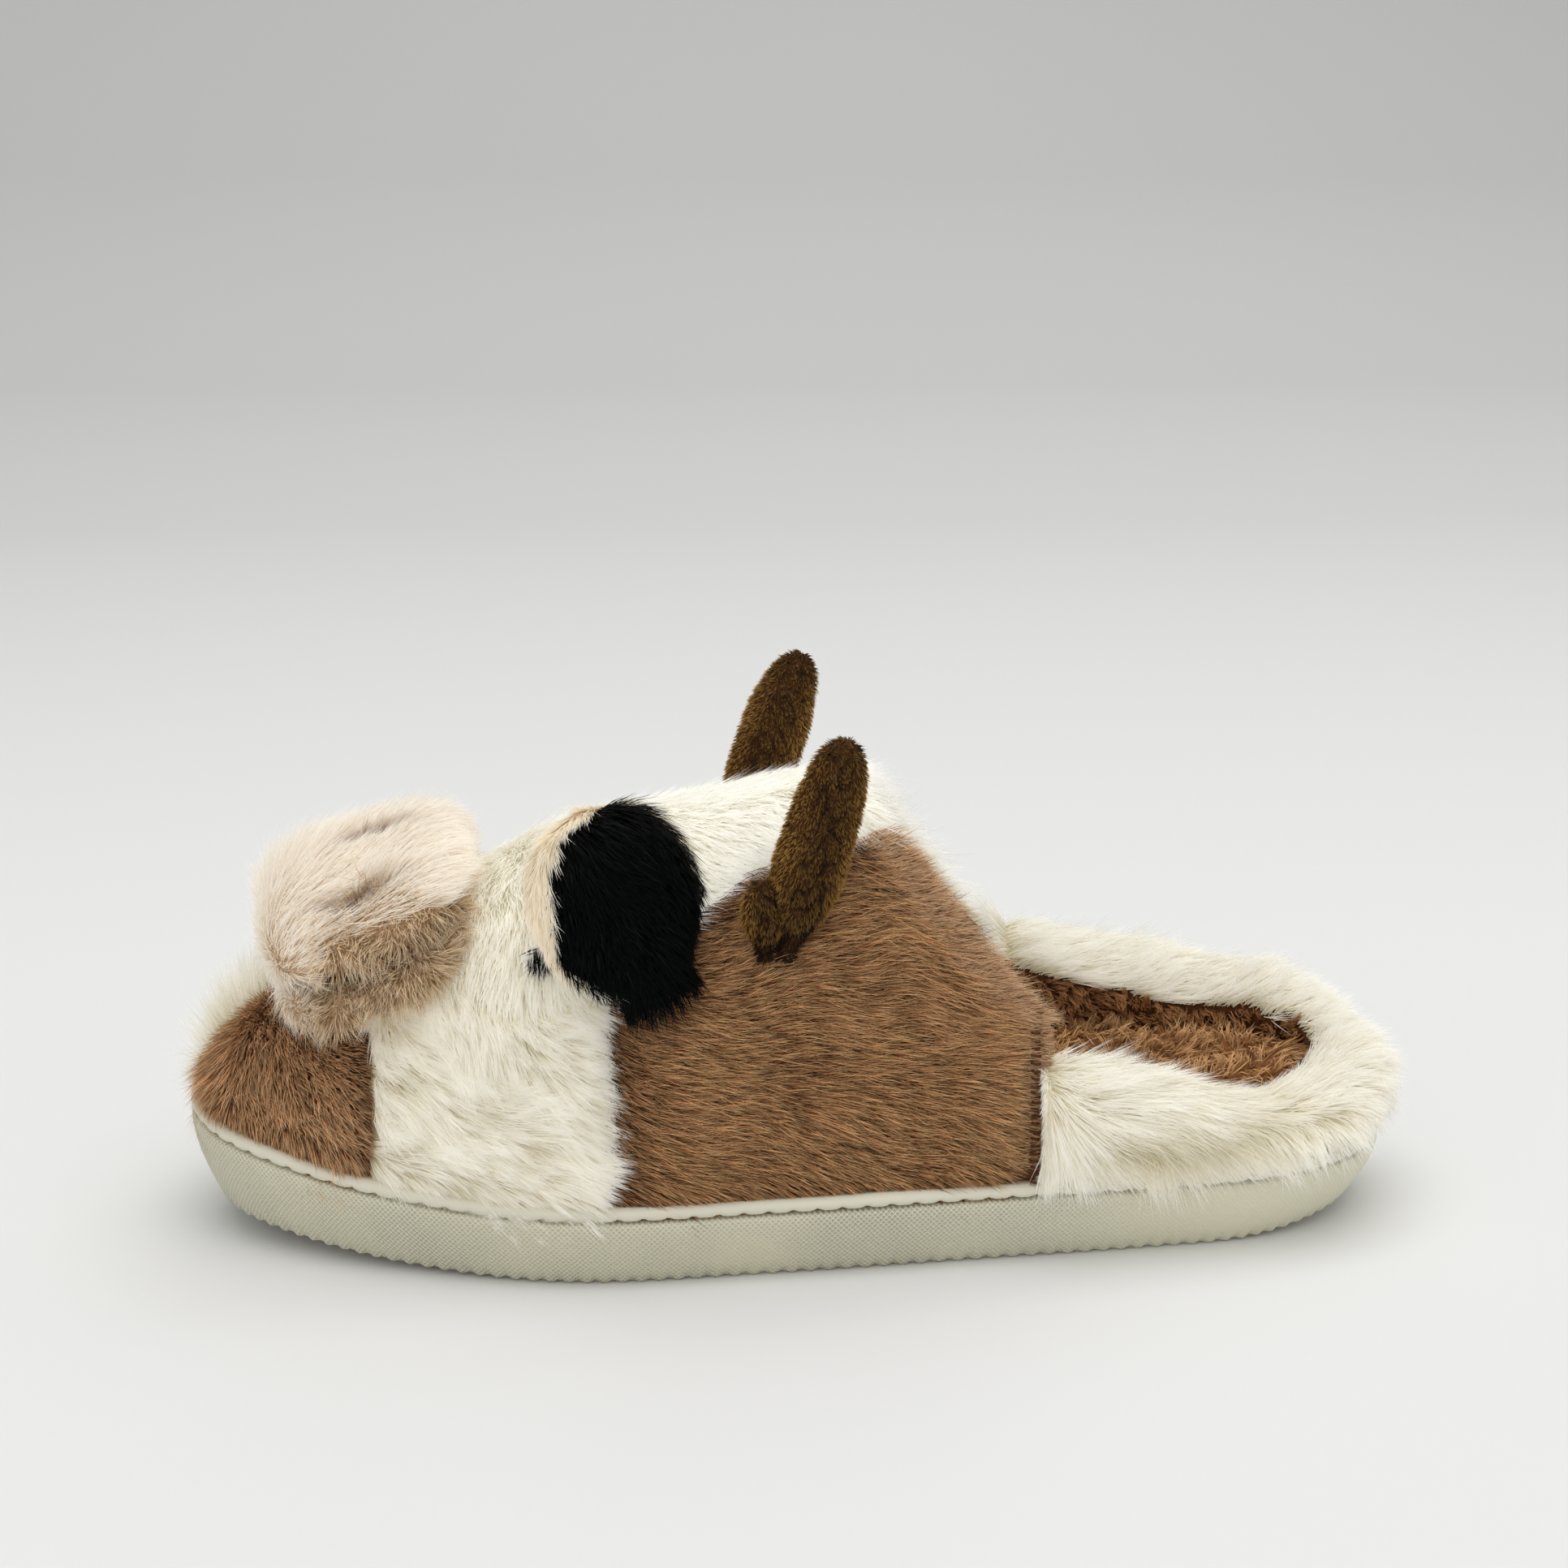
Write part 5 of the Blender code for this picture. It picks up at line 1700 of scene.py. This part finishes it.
@dataclass
class Muzzle:
    """The beige stuffed muzzle with its seam and two nostrils."""

    centre: tuple[float, float, float] = (-0.0915, 0.0, 0.0735)
    length: float = 0.0430
    width: float = 0.0725
    thickness: float = 0.0275
    tilt: float = math.radians(19.0)
    sag: float = 0.0085
    fullness: float = 3.1
    nostrils: tuple[tuple[float, float], ...] = ((0.0040, -0.0055), (-0.0010, -0.0262))
    profile: tuple[tuple[float, float], ...] = (
        # share of the plan, share of half the thickness
        (0.02, -1.00), (0.50, -0.96), (0.84, -0.84), (0.95, -0.68), (0.99, -0.46),
        (0.97, -0.26), (0.89, -0.10), (0.97, 0.06), (0.995, 0.26), (0.97, 0.46),
        (0.89, 0.64), (0.62, 0.86), (0.02, 1.00),
    )
    skin: Grid = field(init=False)

    def axes(self) -> tuple[Vec, Vec, Vec]:
        """Directions through the muzzle.

        Returns:
            Unit vectors along, across and up.
        """
        c, s = math.cos(self.tilt), math.sin(self.tilt)
        return np.array([c, 0, s]), np.array([0.0, 1.0, 0.0]), np.array([-s, 0, c])

    def build(self) -> None:
        """Makes the cushion and its coat."""
        along, across, up = self.axes()
        table = np.array(self.profile)
        at = np.linspace(0, len(table) - 1, 58)
        spread = smooth_table(at, range(len(table)), table[:, 0])[:, None]
        rise = smooth_table(at, range(len(table)), table[:, 1])[:, None]
        turn = np.linspace(0, 2 * math.pi, 96, endpoint=False)[None]
        power = 2 / self.fullness
        c, s = np.cos(turn), np.sin(turn)
        a = np.sign(c) * np.abs(c) ** power * self.length / 2 * spread
        b = np.sign(s) * np.abs(s) ** power * self.width / 2 * spread
        p = (np.array(self.centre) + a[..., None] * along + b[..., None] * across
             + (rise * self.thickness / 2 * np.ones_like(turn))[..., None] * up)
        p[..., 2] -= self.sag * (b / (self.width / 2)) ** 2
        p = self.lift_clear(p, up)
        grid = Grid(p, closed=True)
        centre = np.array(self.centre)
        if ((grid.points - centre) * grid.normals).sum(-1).mean() < 0:
            grid = Grid(p, closed=True, flip=True)
        amount = 0.0006 * wavy(p, 0.016, 4)
        for x, y in self.nostrils:
            spot = np.hypot(((p - centre) @ along - x) * 0.45, (p[..., 1] - y))
            amount -= 0.0034 * np.exp(-(spot / 0.0030) ** 2) * (rise > 0.5)
        self.skin = grid.displaced(amount)
        piece = add_mesh("muzzle_cushion", self.skin.points,
                         self.skin.faces() + caps(self.skin), [material_of(BEIGE_CLOTH)])
        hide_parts("muzzle")
        report(piece)
        self.grow_fur()

    def lift_clear(self, p: Vec, up: Vec) -> Vec:
        """Moves places that would lie inside the upper out of it.

        Args:
            p: places on the cushion.
            up: direction that they move in.

        Returns:
            The places, all outside the upper.
        """
        for _ in range(24):
            outer, inner = LAST.edges(p[..., 0], LAST.upper_inset)
            middle, half = (outer + inner) / 2, np.maximum((inner - outer) / 2, 1e-4)
            rise = np.maximum(p[..., 2] - LAST.rim(p[..., 0]), 0)
            height = np.maximum(LAST.rise(p[..., 0], 0.0), 1e-4)
            share = ((np.abs(p[..., 1] - middle) / half) ** LAST.fullness
                     + (rise / height) ** LAST.fullness) ** (1 / LAST.fullness)
            inside = (share < 1.012) & (p[..., 0] > LAST.front(LAST.upper_inset))
            p = p + np.where(inside, 0.0012, 0.0)[..., None] * up
        return p

    def level(self, p: Vec) -> Vec:
        """Height of places over the cushion's seam."""
        sunk = self.sag * (p[:, 1] / (self.width / 2)) ** 2 * self.axes()[2][2]
        return (p - np.array(self.centre)) @ self.axes()[2] + sunk

    def shade(self, p: Vec) -> Vec:
        """Painted shade in the nostrils' partings, in the seam's groove and on the wall under the
        top.

        Args:
            p: roots of hairs.

        Returns:
            The painted shade from 0 to 1 at each root.
        """
        along, _, _ = self.axes()
        dark = np.zeros(len(p))
        for x, y in self.nostrils:
            spot = np.hypot(((p - np.array(self.centre)) @ along - x) * 0.27, p[:, 1] - y)
            dark += 1.10 * np.exp(-(spot / 0.0019) ** 2)
        level = self.level(p)
        near = np.clip((-0.016 - p[:, 1]) / 0.010, 0, 1) * np.clip((p[:, 0] + 0.112) / 0.012, 0, 1)
        # Painted shade in the seam's groove, then on the near wall under the top.
        dark += 0.80 * np.exp(-((level + 0.0012) / 0.0014) ** 2) * near
        dark += 0.20 * np.clip((0.0065 - level) / 0.007, 0, 1) * near
        return np.clip(dark, 0, 0.95)

    def share_of(self, p: Vec, top: bool) -> Vec:
        """Share of the hairs that belong to one coat.

        Args:
            p: roots of hairs.
            top: the coat on top, or else the wall's.

        Returns:
            The coat's share at each root.
        """
        along = (p - np.array(self.centre)) @ self.axes()[0]
        front = np.clip((-0.009 - along) / 0.008, 0, 1)
        rear = np.clip((along - 0.0130) / 0.006, 0, 1)
        upper = np.clip((self.level(p) - 0.0058 + 0.016 * front + 0.0095 * rear) / 0.0050, 0, 1)
        return upper if top else 1 - upper

    def comb(self, p: Vec, main: tuple[float, float, float]) -> Vec:
        """The nap's direction, parted at the nostrils.

        Args:
            p: roots of hairs.
            main: direction away from the nostrils.

        Returns:
            The direction at each root.
        """
        along, _, _ = self.axes()
        way = np.tile(np.array(main), (len(p), 1))
        for x, y in self.nostrils:
            off = p[:, 1] - y
            spot = np.hypot(((p - np.array(self.centre)) @ along - x) * 0.40, off)
            way[:, 1] += np.sign(off) * 1.3 * np.exp(-(spot / 0.0030) ** 2)
        return way

    def grow_fur(self) -> None:
        """Grows the sleek coat on top and the frizzy one round the wall."""
        sleek = FurStyle(length=0.0070, root_lift=44, tip_lift=16, clump=0.20,
                         clump_size=0.0012, spread=11, ruffle=0.16, ruffle_size=0.012,
                         width=0.00021)
        frizzy = FurStyle(length=0.0058, root_lift=64, tip_lift=46, clump=0.55,
                          clump_size=0.0011, spread=28, ruffle=0.60, ruffle_size=0.005,
                          width=0.00021)
        # The wall's coat wears the darker copy of the beige fur: painted shade.
        for name, style, count, top, comb, seed, finish in (
                ("fur_muzzle_top", sleek, 32000, True, (0.95, 0.05, 0.20), 52, BEIGE_FUR),
                ("fur_muzzle_wall", frizzy, 19000, False, (0.10, -0.30, -0.50), 54, WALL_SHADE_FUR)):
            rng = np.random.default_rng(seed)
            roots, normals = self.skin.roots(
                count, rng, lambda p, n, top=top: self.share_of(p, top) * np.where(
                    n[:, 2] > -0.75, np.where(p[:, 1] > 0.026, 0.5, 1.0), 0.0))
            fur = FurCoat(style, seed, lambda p, n, comb=comb: self.comb(p, comb)).grow(
                name, roots, normals, material_of(finish), shade=self.shade)
            report(fur)


@dataclass
class Limb:
    """A stuffed limb sewn to the upper: an ear or a horn."""

    name: str
    nodes: tuple[str, ...]
    root: tuple[float, float, float]
    axis: tuple[float, float, float]
    back: tuple[float, float, float]
    length: float
    width: float
    thickness: float
    outline: tuple[tuple[float, float, float], ...]
    finishes: tuple[object, object]
    backing: tuple[object, object]
    style: FurStyle
    hairs: int
    root_length: float = 0.004
    bend: float = 0.0
    seed: int = 61
    wrap: float = 0.0
    skin: Grid = field(init=False)

    def axes(self) -> tuple[Vec, Vec, Vec]:
        """Directions through the limb.

        Returns:
            Unit vectors along it, to its back and across it.
        """
        axis = unit(np.array(self.axis))
        back = unit(np.array(self.back) - axis * np.dot(self.back, axis))
        return axis, back, np.cross(axis, back)

    def build(self) -> None:
        """Makes the limb's skin and grows its coat."""
        axis, back, side = self.axes()
        table = np.array(self.outline)
        fine = np.concatenate([[-self.root_length / self.length],
                               np.linspace(0, 1, 34) ** 0.9])
        wide = smooth_table(np.clip(fine, 0, 1), table[:, 0], table[:, 1])
        thick = smooth_table(np.clip(fine, 0, 1), table[:, 0], table[:, 2])
        turn = np.linspace(0, 2 * math.pi, 40, endpoint=False)
        bow = self.bend * fine ** 2
        p = (np.array(self.root) + fine[:, None, None] * self.length * axis
             + (np.cos(turn)[None] * wide[:, None] * self.width / 2)[..., None] * side
             + (np.sin(turn)[None] * thick[:, None] * self.thickness)[..., None] * back
             + bow[:, None, None] * back)
        grid = Grid(p, closed=True)
        middle = p.mean(1, keepdims=True)
        if ((p - middle) * grid.normals).sum(-1).mean() < 0:
            grid = Grid(p, closed=True, flip=True)
        self.skin = grid.displaced(0.0003 * wavy(p, 0.010, self.seed))
        cols = len(turn)
        faces = self.skin.faces()
        slots = [0 if self.on_back(turn[k % cols], fine[k // cols]) else 1
                 for k in range(len(faces))]
        piece = add_mesh(f"{self.name}_cushion", self.skin.points, faces + caps(self.skin),
                         [material_of(finish) for finish in self.backing], slots + [0, 1])
        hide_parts(*self.nodes)
        report(piece)
        self.grow_fur()

    def border(self, across: Vec, share: Vec) -> Vec:
        """Whether places lie inside the back cloth's edge, which stops short of the rim.

        Args:
            across: places across the limb, in half widths.
            share: places along it, in lengths.

        Returns:
            A mask of the places inside.
        """
        table = np.array(self.outline)
        wide = np.interp(share, table[:, 0], table[:, 1])
        short = abs(self.wrap) * np.clip((share - 0.30) / 0.35, 0, 1)
        return (across * np.sign(self.wrap) < wide - short) & (share < 1 - 0.25 * abs(self.wrap))

    def on_back(self, turn: float, share: float) -> bool:
        """Whether a place belongs to the back's cloth.

        Args:
            turn: angle round the section.
            share: place along the limb, in lengths.

        Returns:
            True on the back's cloth.
        """
        wide = np.interp(share, *np.array(self.outline).T[:2])
        return bool((math.sin(turn) >= 0 or share < 0.42)
                    and self.border(math.cos(turn) * wide, share))

    def located(self, p: Vec) -> tuple[Vec, Vec]:
        """Where places lie on the limb.

        Args:
            p: places on it.

        Returns:
            The place across it in half widths, and along it in lengths.
        """
        axis, _, side = self.axes()
        off = p - np.array(self.root)
        return off @ side / (self.width / 2), off @ axis / self.length

    def behind(self, p: Vec, n: Vec) -> Vec:
        """Whether roots stand on the back's cloth.

        Args:
            p: roots of hairs.
            n: the skin's normals there.

        Returns:
            A mask of the roots on it.
        """
        across, share = self.located(p)
        return ((n @ self.axes()[1] > -0.05) | (share < 0.42)) & self.border(across, share)

    def grow_fur(self) -> None:
        """Grows one coat on the back and one on the front, or one all round."""
        axis = self.axes()[0]
        both = self.finishes[0] is self.finishes[1]
        for number, finish in enumerate(self.finishes[:1] if both else self.finishes):
            rng = np.random.default_rng(self.seed + number)
            roots, normals = self.skin.roots(
                self.hairs, rng,
                lambda p, n: (np.ones(len(p)) if both
                              else (self.behind(p, n) == (number == 0)).astype(float)))
            fur = FurCoat(self.style, self.seed + 5 + number,
                          lambda p, n: np.tile(-axis, (len(p), 1)) + n * 0.01).grow(
                f"fur_{self.name}_{'back' if number == 0 else 'front'}", roots, normals,
                material_of(finish), shade=self.plush_shade if both else None)
            report(fur)

    def plush_shade(self, p: Vec) -> Vec:
        """Painted shade in short plush: dark partings, a darker middle that leaves the edges
        looking lit, and shade at the root.

        Args:
            p: roots of hairs.

        Returns:
            The painted shade at each root, past 1 where it covers the tips too.
        """
        axis = self.axes()[0]
        across, share = self.located(p)
        stretched = p - axis * ((p @ axis) * 0.45)[:, None]
        lines = np.clip(1 - np.abs(wavy(stretched, 0.0017, self.seed)) * 2.2, 0, 1)
        middle = np.exp(-(across / 0.62) ** 4)
        return np.clip(lines * (0.20 + 0.80 * middle) + 0.85 * middle
                       + 1.2 * np.clip(1 - share / 0.10, 0, 1), 0, 1.6)


EAR_WRAP = -0.15
EAR_OUTLINE = ((0.00, 0.46, 0.75), (0.15, 0.74, 1.00), (0.35, 1.00, 1.00),
               (0.60, 0.99, 1.00), (0.80, 0.84, 0.92), (0.93, 0.55, 0.75),
               (1.00, 0.10, 0.20))
HORN_OUTLINE = ((0.00, 0.36, 0.60), (0.15, 0.74, 0.95), (0.38, 1.00, 1.00),
                (0.62, 0.97, 0.96), (0.82, 0.80, 0.84), (0.94, 0.56, 0.60),
                (1.00, 0.14, 0.16))


def ears() -> list[Limb]:
    """Describes the ears.

    Returns:
        The outer and the inner ear.
    """
    style = FurStyle(length=0.0056, root_lift=30, tip_lift=8, clump=0.30, spread=13,
                     clump_size=0.0014, width=0.00026)
    shared = dict(length=0.0370, width=0.0340, thickness=0.0055, outline=EAR_OUTLINE,
                  finishes=(BLACK_FUR, EAR_FUR), backing=(BLACK_CLOTH, BEIGE_CLOTH),
                  style=style)
    return [
        Limb("ear_outer", ("ear_back_outer", "ear_front_outer"), (-0.03150, -0.04550, 0.06650),
             (-0.40, 0.03, 0.92), (0.42, -0.90, 0.05), hairs=11000, seed=61, wrap=EAR_WRAP,
             **shared),
        Limb("ear_inner", ("ear_back_inner", "ear_front_inner"), (-0.02383, 0.03335, 0.06256),
             (0.15, 0.82, 0.30), (0.25, 0.35, -0.90), hairs=2500, seed=71, **shared),
    ]


def horns() -> list[Limb]:
    """Describes the horns.

    Returns:
        The outer horn, the folded hem at its foot, and the inner horn.
    """
    style = FurStyle(length=0.0013, root_lift=64, tip_lift=40, clump=0.30, spread=16,
                     clump_size=0.0008, width=0.00026)
    shared = dict(length=0.0450, width=0.0148, thickness=0.0056, outline=HORN_OUTLINE,
                  finishes=(HORN_PLUSH, HORN_PLUSH), backing=(HORN_CLOTH, HORN_CLOTH),
                  style=style, hairs=11000)
    return [
        Limb("horn_outer", ("horn_outer",), (-0.00310, -0.03700, 0.07150), (0.25, -0.08, 0.96),
             (0.10, -0.99, 0.0), seed=81, bend=0.0028, **shared),
        Limb("horn_hem", ("horn_outer",), (-0.0083, -0.0392, 0.0716), (0.02, -0.05, 1.00),
             (0.10, -0.99, 0.0), seed=83, **{**shared, "length": 0.0130, "width": 0.0090,
                                            "thickness": 0.0026, "hairs": 2200}),
        Limb("horn_inner", ("horn_inner",), (-0.01100, 0.03286, 0.07630), (0.36, 0.10, 0.94),
             (0.10, 0.99, 0.0), seed=85, **shared),
    ]


@dataclass
class Eye:
    """A small black tuft stitched on the upper."""

    node: str
    place: tuple[float, float, float]
    facing: tuple[float, float, float]
    radius: float = 0.0027
    hairs: int = 460

    def build(self) -> None:
        """Makes the stitched patch and its tuft."""
        bpy.ops.object.select_all(action="DESELECT")
        bpy.ops.mesh.primitive_uv_sphere_add(segments=20, ring_count=10, radius=1.0,
                                             location=(0, 0, 0))
        piece = bpy.context.object
        piece.name = f"{self.node}_patch"
        normal = unit(np.array(self.facing))
        across = unit(np.cross(normal, [0, 0, 1]))
        up = np.cross(across, normal)
        for vertex in piece.data.vertices:
            x, y, z = vertex.co
            spot = (np.array(self.place) + across * x * self.radius
                    + up * y * self.radius * 0.7 + normal * z * 0.0014)
            vertex.co = spot
        piece.data.flip_normals()
        bpy.ops.object.shade_smooth()
        piece.data.materials.append(material_of(BLACK_CLOTH))
        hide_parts(self.node)
        report(piece)
        rng = np.random.default_rng(91)
        angle, reach = rng.uniform(0, 2 * math.pi, self.hairs), np.sqrt(rng.random(self.hairs))
        roots = (np.array(self.place) + across * (np.cos(angle) * reach * self.radius)[:, None]
                 + up * (np.sin(angle) * reach * self.radius * 0.7)[:, None] + normal * 0.0010)
        style = FurStyle(length=0.0056, root_lift=58, tip_lift=24, spread=34, width=0.00042)
        fur = FurCoat(style, 92, lambda p, n: np.tile([0.5, -0.3, -0.4], (len(p), 1))).grow(
            f"fur_{self.node}", roots, np.tile(normal, (self.hairs, 1)), material_of(BLACK_FUR))
        report(fur)


@dataclass
class Studio:
    """Floor, light and camera."""

    location: tuple[float, float, float] = (-0.03995, -0.57241, 0.22536)
    pitch: float = math.radians(-12.719)
    yaw: float = math.radians(3.829)
    lens: float = 62.09

    def build(self) -> None:
        """Sets the studio up."""
        self.floor()
        self.lights()
        self.camera()

    def floor(self) -> None:
        """A pale sheet that sweeps up behind the slipper, painted darker towards the back as
        shade.
        """
        # y, z and half width of each row
        profile = ((-40.0, 0.0, 40.0), (1.2, 0.0, 5.0), (1.7, 0.05, 5.0), (2.1, 0.22, 5.0),
                   (2.4, 0.6, 5.0), (2.5, 1.2, 5.0), (2.5, 5.0, 5.0))
        points = [(x, y, z) for y, z, reach in profile for x in (-reach, reach)]
        faces = [(2 * k, 2 * k + 1, 2 * k + 3, 2 * k + 2) for k in range(len(profile) - 1)]
        paper = bpy.data.materials.new("paper")
        paper.use_nodes = True
        tree = paper.node_tree
        spot = wire(tree, "ShaderNodeTexCoord").outputs["Object"]
        noise = wire(tree, "ShaderNodeTexNoise", {"Vector": spot, "Scale": 3.0}).outputs[0]
        back = wire(tree, "ShaderNodeSeparateXYZ", {0: spot}).outputs[1]
        # Painted shade: the sheet darkens from the front to the backdrop, where less light falls.
        soft = reckon(tree, "MULTIPLY_ADD", noise, 0.03, ramp(tree, back, 0.2, 2.4))
        tone = tinted(tree, soft, (0.782, 0.785, 0.776, 1), (0.535, 0.538, 0.518, 1))
        fill(tree, tree.nodes["Principled BSDF"], {
            "Base Color": tone, "Roughness": 0.6, "Specular IOR Level": 0.25})
        add_mesh("floor", points, faces, [paper])

    def lights(self) -> None:
        """A broad soft light above and a dim room."""
        world = bpy.data.worlds.new("room")
        bpy.context.scene.world = world
        world.use_nodes = True
        ground = world.node_tree.nodes["Background"]
        ground.inputs["Color"].default_value = (0.955, 0.97, 1.0, 1)
        ground.inputs["Strength"].default_value = 0.63
        for name, place, size, power, aim in (
                ("key", (0.10, -0.25, 2.2), 2.4, 30.0, (0.0, 0.1, 0.0)),
                ("rear", (0.5, 1.3, 1.6), 1.8, 6.0, (0.0, 0.1, 0.03)),
                ("front", (-0.8, -1.5, 0.9), 1.4, 3.0, (0.0, 0.0, 0.05))):
            lamp = bpy.data.lights.new(name, "AREA")
            lamp.size, lamp.energy = size, power
            lamp.color = (1.0, 0.985, 0.96)
            holder = bpy.data.objects.new(name, lamp)
            bpy.context.scene.collection.objects.link(holder)
            holder.location = place
            way = np.array(aim) - np.array(place)
            pitch = math.acos(-way[2] / np.linalg.norm(way))
            holder.rotation_euler = (pitch, 0.0, math.atan2(way[1], way[0]) - math.pi / 2)

    def camera(self) -> None:
        """The camera at the photo's angle."""
        lens = bpy.data.cameras.new("camera")
        lens.lens, lens.sensor_width = self.lens, 36.0
        lens.clip_start = 0.01
        holder = bpy.data.objects.new("camera", lens)
        bpy.context.scene.collection.objects.link(holder)
        holder.location = self.location
        holder.rotation_euler = (math.pi / 2 + self.pitch, 0.0, -self.yaw)
        bpy.context.scene.camera = holder
        view = bpy.context.scene.view_settings
        view.view_transform, view.look = "Standard", "None"


def main() -> None:
    """Builds the slipper and the studio."""
    logging.basicConfig(level=logging.INFO, format="%(message)s")
    SoleUnit().build()
    UpperShell().build()
    HeelCollar().build()
    Insole().build()
    Muzzle().build()
    for limb in ears() + horns():
        limb.build()
    Eye("eye_outer", (-0.05398, -0.03355, 0.06726), (-0.289, -0.795, 0.533)).build()
    Eye("eye_inner", (-0.05398, 0.03113, 0.06726), (-0.140, 0.822, 0.552)).build()
    Studio().build()
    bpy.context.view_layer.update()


if __name__ == "__main__":
    main()
